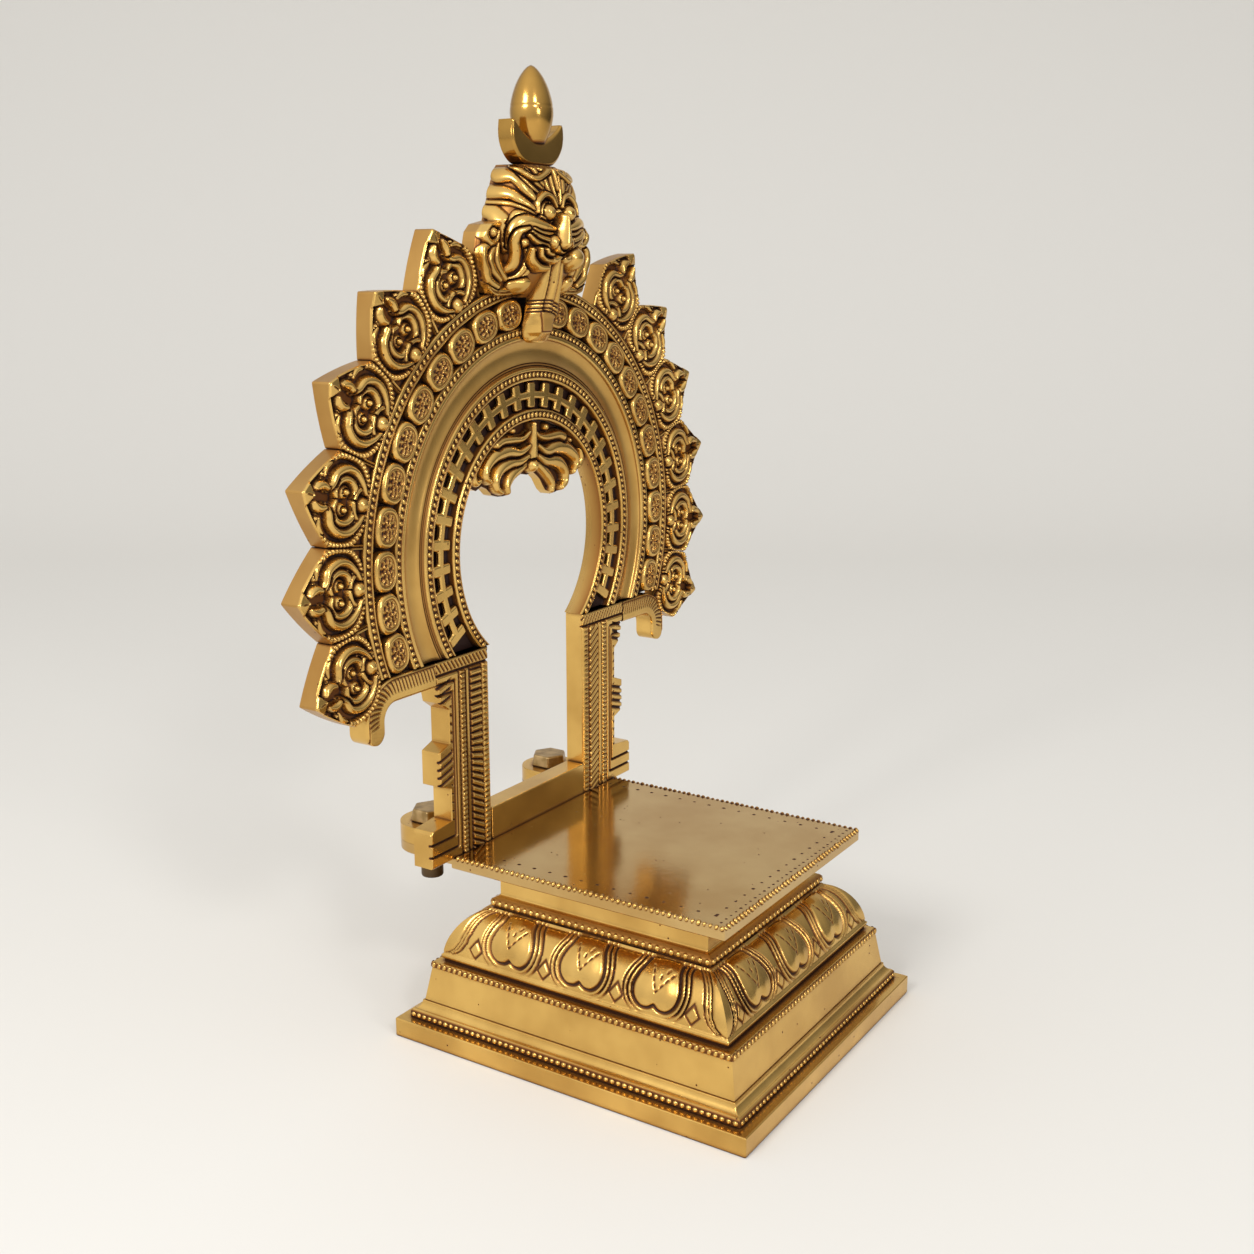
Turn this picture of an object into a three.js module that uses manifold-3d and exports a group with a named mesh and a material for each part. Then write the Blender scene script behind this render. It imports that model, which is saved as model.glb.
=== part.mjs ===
// A brass throne for a small household deity. A stepped pedestal carries a flat seat plate, and a
// horseshoe arch with a border of flames and a kirtimukha mask at its crown stands on the rear edge
// of the seat, held by two bolts through lugs behind its legs.
// Millimetres. X runs to the viewer's right, Y from the front to the back, and Z is up.
// The origin lies on the ground, under the middle of the whole plan.

import * as THREE from 'three';
import { mergeVertices } from 'three/addons/utils/BufferGeometryUtils.js';
import Module from 'manifold-3d';

const wasm = await Module();
wasm.setup();
const { degToRad } = THREE.MathUtils;

// Pedestal, from the ground up. Insets are measured in from the slab's sides.
const slabWidth = 128;
const slabDepth = 140;
const slabHeight = 6.9;
const footHeight = 6.2;
const dadoHeight = 14.3;
const lotusHeight = 19;
const neckHeight = 15.3;
const footInset = 3.6;
const dadoInset = 7.1;
const dadoTaper = 1.9;
const lotusInset = 11.2;
const lotusSpread = 11.7;
const neckInset = 25.3;
const castWall = 4.2;
const slabRim = 12;
// The tiers step in a little more at the front and the back than at the sides.
const depthInsetRatio = 1.12;

// Seat plate and its two rear ears
const seatWidth = 100;
const seatDepth = 107.8;
const seatThickness = 4.4;
const lugRadius = 10.9;
const lugThickness = 6.2;
const boltSpacing = 73;
const boltSetback = 22;
const rebateDepth = 0.5;

// Arch
const archThickness = 8;
const archLap = 1.7;
const springDrop = 32.6;
const openingRadius = 42.6;
const innerRim = 3.8;
const fretWidth = 9.9;
const middleRim = 4.5;
const coveWidth = 9.6;
const beadedRim = 4.5;
const channelWidth = 10.2;
const edgeRim = 4.5;
const fretFloor = 3.2;
const fretPlate = 2.2;
const coveEdge = 1.2;
const coveDepth = 2.8;
const channelFloor = 2.8;
const rimChamfer = 0.8;
const ringFacets = 60;

// Legs of the arch
const legInner = 29.1;
const legWidth = 21.9;
const legHeight = 71.5;
const footReach = 32.8;
const kneeReach = 27.2;
const shoulderReach = 25.9;
const capReach = 27.9;
const edgeStrip = 3.8;
const ropeBand = 6.7;
const reliefDepth = 0.9;
const grooveWidth = 0.7;
const crossbarHeight = 12.3;
const hookReach = { left: 33.5, right: 30.5 };
const hookDrop = 2.6;
const hookWidth = 8.2;
const hookInnerRadius = 5.7;

// Ornament
const flameCount = 6;
const flamePitch = { left: degToRad(16.1), right: degToRad(15.2) };
const firstFlame = { left: degToRad(26.6), right: degToRad(32.5) };
const flameHeight = 28.8;
const flameShoulder = 16;
const flameThickness = 5.6;
const flameSet = 0.8;
const medallionCount = 11;
const medallionPitch = degToRad(9.85);
const medallionHeight = 0.9;
const fretPitch = degToRad(9.3);
const fretArms = 13;
const fretArmWidth = 4;
const maskWidth = 57;
const maskHeight = 37.5;
const maskRelief = 14;
const maskBack = 6;
const crownSet = -0.5;
const tongueLength = 26.5;
const tongueWidth = 13.4;
const tongueLean = 5;
const crescentWidth = 29.6;
const crescentHeight = 14.4;
const crescentDepth = 7;
const crescentThickness = 6;
const budHeight = 25;
const budRadius = 7.3;
const pendantHalfAngle = degToRad(55);
const pendantThickness = 5;
const stemLength = 19;

// Bolts
const boltDiameter = 8;
const boltAcrossFlats = 13;
const boltHeadHeight = 4.7;
const boltStub = 11;

// Clearances
const brazeGap = 0.2;
const seatingGap = 0.3;
const boltClearance = 0.35;

// Levels and places worked out from the sizes above. The ring's centre is springDrop over the legs.
const footLevel = slabHeight;
const dadoLevel = footLevel + footHeight;
const lotusLevel = dadoLevel + dadoHeight;
const neckLevel = lotusLevel + lotusHeight;
const seatLevel = neckLevel + neckHeight;
const seatTop = seatLevel + seatThickness;
const archSeat = seatTop - rebateDepth;
const archFront = seatDepth / 2 - archLap;
const archBack = archFront + archThickness;
const boltY = archFront + boltSetback;
const rearReach = boltY + lugRadius;
const ringRise = legHeight + springDrop;
const ringOuter = openingRadius + innerRim + fretWidth + middleRim + coveWidth
  + beadedRim + channelWidth + edgeRim;
const medallionRadius = ringOuter - edgeRim - channelWidth / 2;
const fretRadius = openingRadius + innerRim + fretWidth / 2;
const legFoot = -ringRise;
const capTop = legFoot + legHeight;

const brass = new THREE.MeshStandardMaterial({ color: 0xc99b45, metalness: 1, roughness: 0.3 });
const darkBrass = new THREE.MeshStandardMaterial({ color: 0x9a7430, metalness: 1, roughness: 0.45 });
const boltMetal = new THREE.MeshStandardMaterial({ color: 0x8d7a55, metalness: 1, roughness: 0.5 });

// Merges a closed surface's doubled corners, drops its empty triangles and turns its faces outwards.
function closed(source) {
  const bare = source.clone();
  bare.deleteAttribute('normal');
  bare.deleteAttribute('uv');
  const merged = mergeVertices(bare, 1e-4);
  const place = merged.attributes.position;
  const corners = merged.index.array;
  const [p, q, r] = [new THREE.Vector3(), new THREE.Vector3(), new THREE.Vector3()];
  const kept = [];
  let volume = 0;
  for (let i = 0; i < corners.length; i += 3) {
    const [a, b, c] = [corners[i], corners[i + 1], corners[i + 2]];
    if (a === b || b === c || c === a) continue;
    kept.push(a, b, c);
    p.fromBufferAttribute(place, a);
    q.fromBufferAttribute(place, b);
    r.fromBufferAttribute(place, c);
    volume += p.dot(q.cross(r));
  }
  merged.setIndex(volume < 0 ? kept.reverse() : kept);
  return merged;
}

function solid(geometry) {
  const mesh = closed(geometry);
  return new wasm.Manifold(new wasm.Mesh({
    numProp: 3,
    vertProperties: new Float32Array(mesh.attributes.position.array),
    triVerts: new Uint32Array(mesh.index.array),
  }));
}

function surface(body) {
  const mesh = body.getMesh();
  const geometry = new THREE.BufferGeometry();
  geometry.setAttribute('position', new THREE.BufferAttribute(mesh.vertProperties, 3));
  geometry.setIndex(new THREE.BufferAttribute(mesh.triVerts, 1));
  return geometry;
}

function join(...geometries) {
  return geometries.map(solid).reduce((whole, piece) => whole.add(piece));
}

function part(name, shape, material = brass) {
  const geometry = shape.isBufferGeometry ? closed(shape) : surface(shape);
  geometry.computeVertexNormals();
  const mesh = new THREE.Mesh(geometry, material);
  mesh.name = name;
  return mesh;
}

function box(x0, x1, y0, y1, z0, z1) {
  const geometry = new THREE.BoxGeometry(x1 - x0, y1 - y0, z1 - z0);
  return geometry.translate((x0 + x1) / 2, (y0 + y1) / 2, (z0 + z1) / 2);
}

// A shape drawn in x and z, standing upright with its front face at y = front.
function upright(shape, front, thickness, bevel = 0, curveSegments = 8) {
  const geometry = new THREE.ExtrudeGeometry(shape, {
    depth: thickness - 2 * bevel,
    bevelEnabled: bevel > 0,
    bevelSize: bevel,
    bevelThickness: bevel,
    bevelOffset: -bevel,
    bevelSegments: 1,
    curveSegments,
  });
  return geometry.rotateX(Math.PI / 2).translate(0, front + thickness - bevel, 0);
}

// An ellipsoid with few faces, for modelled relief.
function lump(x, y, z, rx, ry, rz, facets = 8) {
  const geometry = new THREE.SphereGeometry(1, facets, Math.ceil(facets * 0.6));
  return geometry.scale(rx, ry, rz).translate(x, y, z);
}

// A rounded strand that swells and tapers along a smooth curve through the given places.
function strand(places, width, height, steps = 4, sides = 5) {
  const curve = new THREE.CatmullRomCurve3(places.map(([x, y, z]) => new THREE.Vector3(x, y, z)));
  const points = [];
  for (let i = 0; i <= steps; i += 1) {
    const t = i / steps;
    const centre = curve.getPointAt(t);
    const along = curve.getTangentAt(t);
    const across = new THREE.Vector3(-along.z, 0, along.x).normalize();
    const swell = Math.max(0.18, Math.sin(Math.PI * (0.12 + 0.8 * t)));
    for (let k = 0; k < sides; k += 1) {
      const angle = 2 * Math.PI * k / sides;
      const point = centre.clone().addScaledVector(across, width / 2 * swell * Math.cos(angle));
      point.y += height * swell * Math.sin(angle);
      points.push(point);
    }
  }
  const faces = [];
  for (let i = 0; i < steps; i += 1) {
    for (let k = 0; k < sides; k += 1) {
      const a = i * sides + k;
      const b = i * sides + (k + 1) % sides;
      faces.push(a, b, b + sides, a, b + sides, a + sides);
    }
  }
  const last = steps * sides;
  for (let k = 1; k < sides - 1; k += 1) {
    faces.push(0, k + 1, k, last, last + k, last + k + 1);
  }
  const geometry = new THREE.BufferGeometry().setFromPoints(points);
  geometry.setIndex(faces);
  return geometry;
}

function mirrored(geometry) {
  return geometry.clone().scale(-1, 1, 1);
}

// A tier of the pedestal: a closed section carried round a rectangle with mitred corners. Each
// corner of the section is an inset from the slab's sides and a height, up the outside first.
function tier(section) {
  const corners = [[1, -1], [1, 1], [-1, 1], [-1, -1]];
  const points = [];
  for (const [inset, z] of section) {
    const halfWidth = slabWidth / 2 - inset;
    const halfDepth = slabDepth / 2 - inset * depthInsetRatio;
    for (const [sx, sy] of corners) {
      points.push(new THREE.Vector3(sx * halfWidth, sy * halfDepth, z));
    }
  }
  const faces = [];
  section.forEach((_, i) => {
    const next = (i + 1) % section.length;
    for (let k = 0; k < 4; k += 1) {
      const side = (k + 1) % 4;
      faces.push(4 * i + k, 4 * i + side, 4 * next + side);
      faces.push(4 * i + k, 4 * next + side, 4 * next + k);
    }
  });
  const geometry = new THREE.BufferGeometry().setFromPoints(points);
  geometry.setIndex(faces);
  return geometry;
}

// The points of a swelling, or of a hollow, between two corners of a section.
function bend([inset0, z0], [inset1, z1], power, steps, hollow = false) {
  const points = [];
  for (let i = 1; i < steps; i += 1) {
    const rise = i / steps;
    const run = hollow
      ? (1 - (1 - rise) ** power) ** (1 / power)
      : 1 - (1 - rise ** power) ** (1 / power);
    points.push([inset0 + (inset1 - inset0) * run, z0 + (z1 - z0) * rise]);
  }
  return points;
}

function pedestalPieces() {
  const lip = 0.6;
  const slab = tier([
    [0, 0], [0, footLevel - lip], [lip, footLevel], [slabRim, footLevel], [slabRim, 0],
  ]);

  const beadSeat = 2.4;
  const hollowFoot = [footInset + lip, footLevel + beadSeat + lip];
  const hollowTop = [dadoInset - lip, dadoLevel - lip];
  const footMoulding = tier([
    [footInset, footLevel],
    [footInset, footLevel + beadSeat],
    hollowFoot,
    ...bend(hollowFoot, hollowTop, 1.6, 4, true),
    hollowTop,
    [dadoInset - lip, dadoLevel],
    [slabRim, dadoLevel],
    [slabRim, footLevel],
  ]);

  const dadoTop = dadoInset + dadoTaper;
  const ropeLip = 2.2;
  const dado = tier([
    [dadoInset, dadoLevel],
    [dadoTop, lotusLevel - ropeLip],
    [dadoTop - lip / 2, lotusLevel - ropeLip + lip / 2],
    [dadoTop - lip / 2, lotusLevel - lip],
    [dadoTop + lip / 2, lotusLevel],
    [slabRim + dadoTaper, lotusLevel],
    [slabRim, dadoLevel],
  ]);

  const lotusTop = lotusInset + lotusSpread;
  const groove = 1.4;
  const footing = 2.4;
  const lotus = tier([
    [lotusInset + groove, lotusLevel],
    [lotusInset + groove, lotusLevel + groove],
    [lotusInset, lotusLevel + groove + lip],
    [lotusInset, lotusLevel + footing],
    ...bend([lotusInset, lotusLevel + footing], [lotusTop, neckLevel], 1.7, 8),
    [lotusTop, neckLevel],
    [lotusTop + castWall, neckLevel],
    [lotusTop + castWall * 0.6, neckLevel - castWall],
    [lotusInset + castWall + groove, lotusLevel + castWall],
    [lotusInset + castWall + groove, lotusLevel],
  ]);

  const beadRow = 2.2;
  const neckStep = 4.6;
  const fillet = 1.8;
  const neck = tier([
    [lotusTop + groove / 2, neckLevel],
    [lotusTop + groove / 2, neckLevel + lip],
    [lotusTop, neckLevel + 2 * lip],
    [lotusTop, neckLevel + lip + beadRow],
    [lotusTop + lip, neckLevel + 2 * lip + beadRow],
    [neckInset - lip, neckLevel + neckStep - lip],
    [neckInset, neckLevel + neckStep],
    [neckInset, seatLevel - 2 * fillet],
    [neckInset - lip, seatLevel - fillet],
    [neckInset - lip, seatLevel],
    [neckInset + castWall, seatLevel],
    [neckInset + castWall, neckLevel],
  ]);

  return [
    part('foot_slab', slab),
    part('foot_moulding', footMoulding),
    part('dado', dado),
    part('lotus_course', lotus),
    part('neck_moulding', neck),
    part('seat_plate', seatPlate()),
  ];
}

function boltHole(centreX) {
  const hole = new THREE.Path();
  hole.absarc(centreX, boltY, boltDiameter / 2 + boltClearance, 0, 2 * Math.PI, true);
  return hole;
}

// The seat plate has an ear behind each leg of the arch, of the same plan as the lug that it takes.
// A shallow rebate across its rear edge and its ears seats the foot of the arch.
function seatPlate() {
  const chamfer = 0.4;
  const [x, y] = [seatWidth / 2, seatDepth / 2];
  const bolt = boltSpacing / 2;
  const outline = new THREE.Shape();
  outline.moveTo(-x, -y);
  outline.lineTo(x, -y);
  outline.lineTo(x, y);
  outline.lineTo(bolt + lugRadius, y);
  outline.absarc(bolt, boltY, lugRadius, 0, Math.PI, false);
  outline.lineTo(bolt - lugRadius, y);
  outline.lineTo(lugRadius - bolt, y);
  outline.absarc(-bolt, boltY, lugRadius, 0, Math.PI, false);
  outline.lineTo(-bolt - lugRadius, y);
  outline.lineTo(-x, y);
  outline.holes.push(boltHole(bolt), boltHole(-bolt));
  const plate = new THREE.ExtrudeGeometry(outline, {
    depth: seatThickness - 2 * chamfer,
    bevelSize: chamfer,
    bevelThickness: chamfer,
    bevelOffset: -chamfer,
    bevelSegments: 1,
    curveSegments: 8,
  });
  plate.translate(0, 0, seatLevel + chamfer);
  const rebate = box(-x - 1, x + 1, archFront - seatingGap, rearReach + 1, archSeat, seatTop + 1);
  return solid(plate).subtract(solid(rebate));
}

// The ring is one casting: a section with rims, hollows and channels, turned about the arch's
// centre, and cut off level where it stands on the legs.
function ring() {
  const section = [];
  let radius = openingRadius;
  function rim(width) {
    section.push([radius, rimChamfer], [radius + rimChamfer, 0]);
    radius += width;
    section.push([radius - rimChamfer, 0], [radius, rimChamfer]);
  }
  function channel(width, floor) {
    section.push([radius, floor], [radius + width, floor]);
    radius += width;
  }
  rim(innerRim);
  channel(fretWidth, fretFloor);
  rim(middleRim);
  const coveSteps = 4;
  for (let i = 0; i <= coveSteps; i += 1) {
    const t = i / coveSteps;
    section.push([radius + coveWidth * t, coveEdge + (coveDepth - coveEdge) * 4 * t * (1 - t)]);
  }
  radius += coveWidth;
  rim(beadedRim);
  channel(channelWidth, channelFloor);
  rim(edgeRim);
  section.push([ringOuter, archThickness], [openingRadius, archThickness]);
  section.push(section[0]);
  const turned = new THREE.LatheGeometry(section.map(([r, y]) => new THREE.Vector2(r, y)), ringFacets);
  const reach = 2 * ringOuter;
  const below = box(-reach, reach, -reach, reach, -reach, capTop + brazeGap);
  return solid(turned).subtract(solid(below));
}

// An openwork band of linked crosses, dropped into the ring's inner channel.
function fretBand() {
  const inner = fretRadius - fretWidth / 2 + seatingGap;
  const outer = fretRadius + fretWidth / 2 - seatingGap;
  const link = fretWidth / 7;
  const outline = new THREE.Shape();
  const place = (radius, angle) => [radius * Math.sin(angle), radius * Math.cos(angle)];
  const edge = [];
  for (const [side, reach] of [[1, outer], [-1, inner]]) {
    const spine = fretRadius + side * link;
    const row = [];
    for (let i = -fretArms; i <= fretArms; i += 1) {
      const middle = i * fretPitch;
      const half = fretArmWidth / 2 / fretRadius;
      const tip = fretArmWidth / 2 / reach;
      row.push(place(spine, middle - half), place(reach, middle - tip));
      row.push(place(reach, middle + tip), place(spine, middle + half));
    }
    edge.push(...(side > 0 ? row : row.reverse()));
  }
  edge.forEach(([x, z], i) => (i ? outline.lineTo(x, z) : outline.moveTo(x, z)));
  return upright(outline, fretFloor - fretPlate - brazeGap, fretPlate);
}

function medallion() {
  const half = medallionRadius * medallionPitch / 2 - brazeGap;
  const profile = [
    [0, channelFloor - brazeGap],
    [1, channelFloor - brazeGap],
    [1, rimChamfer],
    [0.8, -medallionHeight],
    [0, -medallionHeight * 0.7],
  ];
  const turned = new THREE.LatheGeometry(profile.map(([r, y]) => new THREE.Vector2(r, y)), 10);
  return turned.scale(half, 1, channelWidth / 2 - brazeGap);
}

// One flame, pointing straight up: a broad pointed leaf with a raised heart, a pair of scrolls and
// a ball at its root.
function flame(pitch) {
  const root = ringOuter + seatingGap;
  const shoulder = ringOuter + flameShoulder;
  const tip = ringOuter + flameHeight;
  const half = pitch / 2 - seatingGap / shoulder;
  const narrow = half * 0.86;
  const place = (radius, angle) => [radius * Math.sin(angle), radius * Math.cos(angle)];
  const outline = new THREE.Shape();
  outline.moveTo(...place(root, -narrow));
  outline.quadraticCurveTo(...place(root + flameShoulder * 0.3, -half), ...place(shoulder, -half));
  outline.lineTo(...place(tip, 0));
  outline.lineTo(...place(shoulder, half));
  outline.quadraticCurveTo(...place(root + flameShoulder * 0.3, half), ...place(root, narrow));
  outline.lineTo(...place(root, narrow / 2));
  outline.lineTo(...place(root, 0));
  outline.lineTo(...place(root, -narrow / 2));
  const front = flameSet;
  const leaf = upright(outline, front, flameThickness, 0.8, 3);
  const spread = shoulder * half * 0.36;
  const heart = lump(0, front + 0.8, shoulder + 1, spread * 1.9, 2.2, flameHeight * 0.34, 6);
  const ball = lump(0, front, root + 2.6, 2.2, 1.8, 2.2, 6);
  const scroll = new THREE.CylinderGeometry(2.3, 3.3, 2.4, 6);
  scroll.translate(spread, front - 0.2, root + flameShoulder * 0.55);
  return join(leaf, heart, ball, scroll.clone(), mirrored(scroll));
}

// One leg, drawn on the right-hand side. Its outer edge steps in and out like a turned post: a
// foot, a knee and a shoulder under the cap, with grooves cut across each.
function leg() {
  const ease = 1;
  const footTop = legHeight * 0.185;
  const kneeFoot = legHeight * 0.375;
  const kneeTop = legHeight * 0.57;
  const shoulderFoot = legHeight * 0.767;
  const capFoot = legHeight * 0.93;
  const outline = new THREE.Shape();
  outline.moveTo(0, 0);
  outline.lineTo(footReach - ease, 0);
  outline.lineTo(footReach, ease);
  outline.lineTo(footReach, footTop - ease);
  outline.lineTo(footReach - ease, footTop);
  outline.lineTo(legWidth, footTop + ease);
  outline.lineTo(legWidth, kneeFoot - ease);
  outline.lineTo(kneeReach, kneeFoot + ease);
  outline.lineTo(kneeReach, kneeTop - ease);
  outline.lineTo(legWidth, kneeTop + ease);
  outline.lineTo(legWidth, shoulderFoot - ease);
  outline.lineTo(shoulderReach, shoulderFoot + 2 * ease);
  outline.lineTo(capReach, capFoot);
  outline.lineTo(capReach, legHeight - brazeGap);
  outline.lineTo(0, legHeight - brazeGap);
  let body = solid(upright(outline, 0, archThickness));
  const cut = (x0, x1, z0, z1, depth) => {
    body = body.subtract(solid(box(x0, x1, -1, depth, z0, z1)));
  };
  cut(edgeStrip, edgeStrip + ropeBand, grooveWidth, capFoot - grooveWidth, reliefDepth);
  const ribEdge = legWidth - 4.4;
  cut(ribEdge, ribEdge + grooveWidth, footTop, shoulderFoot, reliefDepth);
  cut(-1, capReach + 1, capFoot, capFoot + grooveWidth, reliefDepth);
  const across = (count, from, to, reach) => {
    for (let i = 1; i <= count; i += 1) {
      const z = from + (to - from) * i / (count + 1);
      cut(ribEdge + 2 * grooveWidth, reach + 1, z - grooveWidth / 2, z + grooveWidth / 2, reliefDepth);
    }
  };
  across(2, 0, footTop, footReach);
  across(4, kneeFoot, kneeTop, kneeReach);
  across(2, shoulderFoot, capFoot, shoulderReach);
  return surface(body).translate(legInner, 0, legFoot);
}

function crossbar() {
  const half = legInner - brazeGap;
  return box(-half, half, 0, archThickness, legFoot, legFoot + crossbarHeight);
}

// A hook under the end of the ring: an arm from the cap that turns down to a round tip.
function hookBracket(hookLength) {
  const start = legInner + capReach + brazeGap;
  const top = capTop - brazeGap;
  const outerRadius = hookInnerRadius + hookWidth;
  const turnX = legInner + capReach + hookLength - outerRadius;
  const turnZ = top - outerRadius;
  const outline = new THREE.Shape();
  outline.moveTo(start, top);
  outline.lineTo(start, top - hookWidth);
  outline.lineTo(turnX, top - hookWidth);
  outline.absarc(turnX, turnZ, hookInnerRadius, Math.PI / 2, 0, true);
  const tipX = turnX + hookInnerRadius + hookWidth / 2;
  outline.absarc(tipX, turnZ - hookDrop, hookWidth / 2, Math.PI, 2 * Math.PI, false);
  outline.absarc(turnX, turnZ, outerRadius, 0, Math.PI / 2, false);
  return upright(outline, 0, archThickness, 0.5, 5);
}

// A lug behind each leg, over the ear of the seat plate, with the bolt's clear hole through both.
function archLug() {
  const outline = new THREE.Shape();
  const bolt = boltSpacing / 2;
  outline.moveTo(bolt - lugRadius, archBack + brazeGap);
  outline.lineTo(bolt + lugRadius, archBack + brazeGap);
  outline.absarc(bolt, boltY, lugRadius, 0, Math.PI, false);
  outline.holes.push(boltHole(bolt));
  const lug = new THREE.ExtrudeGeometry(outline, {
    depth: lugThickness, bevelEnabled: false, curveSegments: 8,
  });
  return lug.translate(0, -archFront, legFoot);
}

// The kirtimukha mask: a horned lion's face that sits astride the crown of the ring, with its
// tongue down over the ring's front. Its features are placed in fractions of the mask's half width,
// relief and height, with heights measured up from the ring's outer edge.
function kirtimukhaMask() {
  const half = maskWidth / 2;
  const onRing = (share) => ringOuter + share * maskHeight;
  const pair = (geometry) => [geometry, mirrored(geometry)];
  const boss = (x, y, z, wide, deep, tall, facets) => lump(
    x * half, y * maskRelief, onRing(z), wide * half, deep * maskRelief, tall * maskHeight, facets,
  );
  const head = boss(0, 0, 0.55, 0.66, 0.62, 0.45);
  const cheeks = boss(0, 0, 0.28, 0.84, 0.58, 0.31);
  const nose = boss(0, -0.6, 0.42, 0.16, 0.44, 0.2, 7);
  const muzzle = boss(0, -0.45, 0.2, 0.42, 0.44, 0.13, 7);
  const eye = boss(0.24, -0.5, 0.61, 0.12, 0.3, 0.09, 7);
  const nostril = boss(0.14, -0.74, 0.34, 0.1, 0.2, 0.07, 6);
  const jowl = boss(0.47, -0.4, 0.1, 0.2, 0.34, 0.12, 6);
  const ear = boss(0.87, 0.05, 0.38, 0.19, 0.34, 0.145, 7);
  const locks = {
    eyelid: [[0.04, -0.6, 0.66], [0.25, -0.68, 0.75], [0.48, -0.42, 0.68]],
    forelock: [[0.06, -0.55, 0.76], [0.28, -0.42, 0.93], [0.46, -0.08, 0.96]],
    templeLock: [[0.24, -0.55, 0.74], [0.46, -0.36, 0.83], [0.6, 0.05, 0.85]],
    sideLock: [[0.28, -0.6, 0.5], [0.56, -0.42, 0.62], [0.73, 0.04, 0.66]],
    whisker: [[0.12, -0.7, 0.3], [0.42, -0.6, 0.38], [0.66, -0.36, 0.24]],
    earRoll: [[0.64, -0.36, 0.26], [0.88, -0.22, 0.5], [1.05, 0.06, 0.44]],
    jawRoll: [[0.6, -0.32, 0.1], [0.86, -0.3, -0.04], [1.06, -0.04, 0.08]],
    earCurl: [[0.9, -0.2, -0.12], [1.08, -0.12, 0.06], [1.13, 0.08, 0.28]],
  };
  const strands = Object.values(locks).map((places) => strand(
    places.map(([x, y, z]) => [x * half, y * maskRelief, onRing(z)]), half * 0.21, maskRelief * 0.2,
  ));
  const backing = new THREE.Shape();
  backing.moveTo(0, onRing(-0.1));
  for (const side of [1, -1]) {
    const edge = [[1.08, -0.18], [1.14, 0.3], [0.82, 0.55]];
    for (const [x, z] of side > 0 ? edge : edge.reverse()) {
      backing.lineTo(side * x * half, onRing(z));
    }
    if (side > 0) {
      backing.quadraticCurveTo(half * 0.68, onRing(1), 0, onRing(1));
      backing.quadraticCurveTo(-half * 0.68, onRing(1), -half * 0.82, onRing(0.55));
    }
  }
  const plate = upright(backing, 0, maskBack, 1);
  const features = [eye, nostril, jowl, ear, ...strands].flatMap(pair);
  let mask = join(plate, head, cheeks, nose, muzzle, ...features, ...tongue(onRing(0.16)));

  // The mask stops short of the flames beside it, of its own back plane and of the ring.
  const reach = 2 * ringOuter;
  const span = firstFlame.left - flamePitch.left / 2 - seatingGap / ringOuter;
  const wedge = new THREE.Shape();
  wedge.moveTo(0, 0);
  wedge.lineTo(reach * Math.tan(span), reach);
  wedge.lineTo(-reach * Math.tan(span), reach);
  mask = mask.intersect(solid(upright(wedge, -reach + maskBack, reach)));
  const crown = new THREE.CylinderGeometry(
    ringOuter + seatingGap, ringOuter + seatingGap, reach, ringFacets,
  );
  return mask.subtract(solid(crown.translate(0, reach / 2 - seatingGap - medallionHeight, 0)));
}

// The tongue leans out towards its root: three flutes over a wedge, a pair of bands, and a broad
// spoon with a ridge down its middle.
function tongue(rootZ) {
  const half = tongueWidth / 2;
  const end = rootZ - tongueLength;
  const band = end + tongueLength * 0.38;
  const back = -medallionHeight - seatingGap;
  const tilt = Math.atan2(tongueLean, rootZ - band);
  const wedge = wasm.Manifold.hull([
    solid(box(-half * 0.9, half * 0.9, back - 2.2, back, band - 1, band)),
    solid(box(-half, half, back - 2.2 - tongueLean, back, rootZ - 1, rootZ)),
  ]);
  const corner = (x, z) => solid(lump(x * half, back - 1, z, 2.2, 1, 2.2, 6));
  const spoon = wasm.Manifold.hull([
    corner(-0.62, end + 2.2), corner(0.62, end + 2.2), corner(-0.78, band - 2), corner(0.78, band - 2),
  ]);
  const pieces = [surface(wedge), surface(spoon)];
  for (const side of [-1, 0, 1]) {
    const flute = new THREE.CylinderGeometry(half * 0.36, half * 0.32, rootZ - band, 7);
    flute.rotateX(Math.PI / 2 + tilt);
    pieces.push(flute.translate(side * half * 0.62, back - 2 - tongueLean / 2, (band + rootZ) / 2));
  }
  for (const lift of [0, 2]) {
    const reach = half * 1.02;
    pieces.push(box(-reach, reach, back - 4 - lift * Math.tan(tilt), back - 1, band + lift, band + lift + 1));
  }
  pieces.push(lump(0, back - 1.6, end + tongueLength * 0.18, half * 0.3, 1.6, tongueLength * 0.15, 6));
  return pieces;
}

// A cup-shaped crescent: full shoulders, upright horns and a shallow seat for the bud.
function crescent() {
  const foot = ringOuter + maskHeight + seatingGap;
  const half = crescentWidth / 2;
  const horn = 0.86;
  const outline = new THREE.Shape();
  const at = (x, z) => [x * half, foot + z * crescentHeight];
  const seat = crescentDepth / crescentHeight;
  outline.moveTo(...at(-0.3, 0));
  outline.lineTo(...at(0.3, 0));
  outline.quadraticCurveTo(...at(1, 0.22), ...at(1, 0.68));
  outline.lineTo(...at(0.97, 1));
  outline.lineTo(...at(horn, 1));
  outline.quadraticCurveTo(...at(0.66, seat), ...at(0.38, seat));
  outline.lineTo(...at(-0.38, seat));
  outline.quadraticCurveTo(...at(-0.66, seat), ...at(-horn, 1));
  outline.lineTo(...at(-0.97, 1));
  outline.lineTo(...at(-1, 0.68));
  outline.quadraticCurveTo(...at(-1, 0.22), ...at(-0.3, 0));
  return upright(outline, crownSet - crescentThickness / 2, crescentThickness, 0.6, 6);
}

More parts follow.
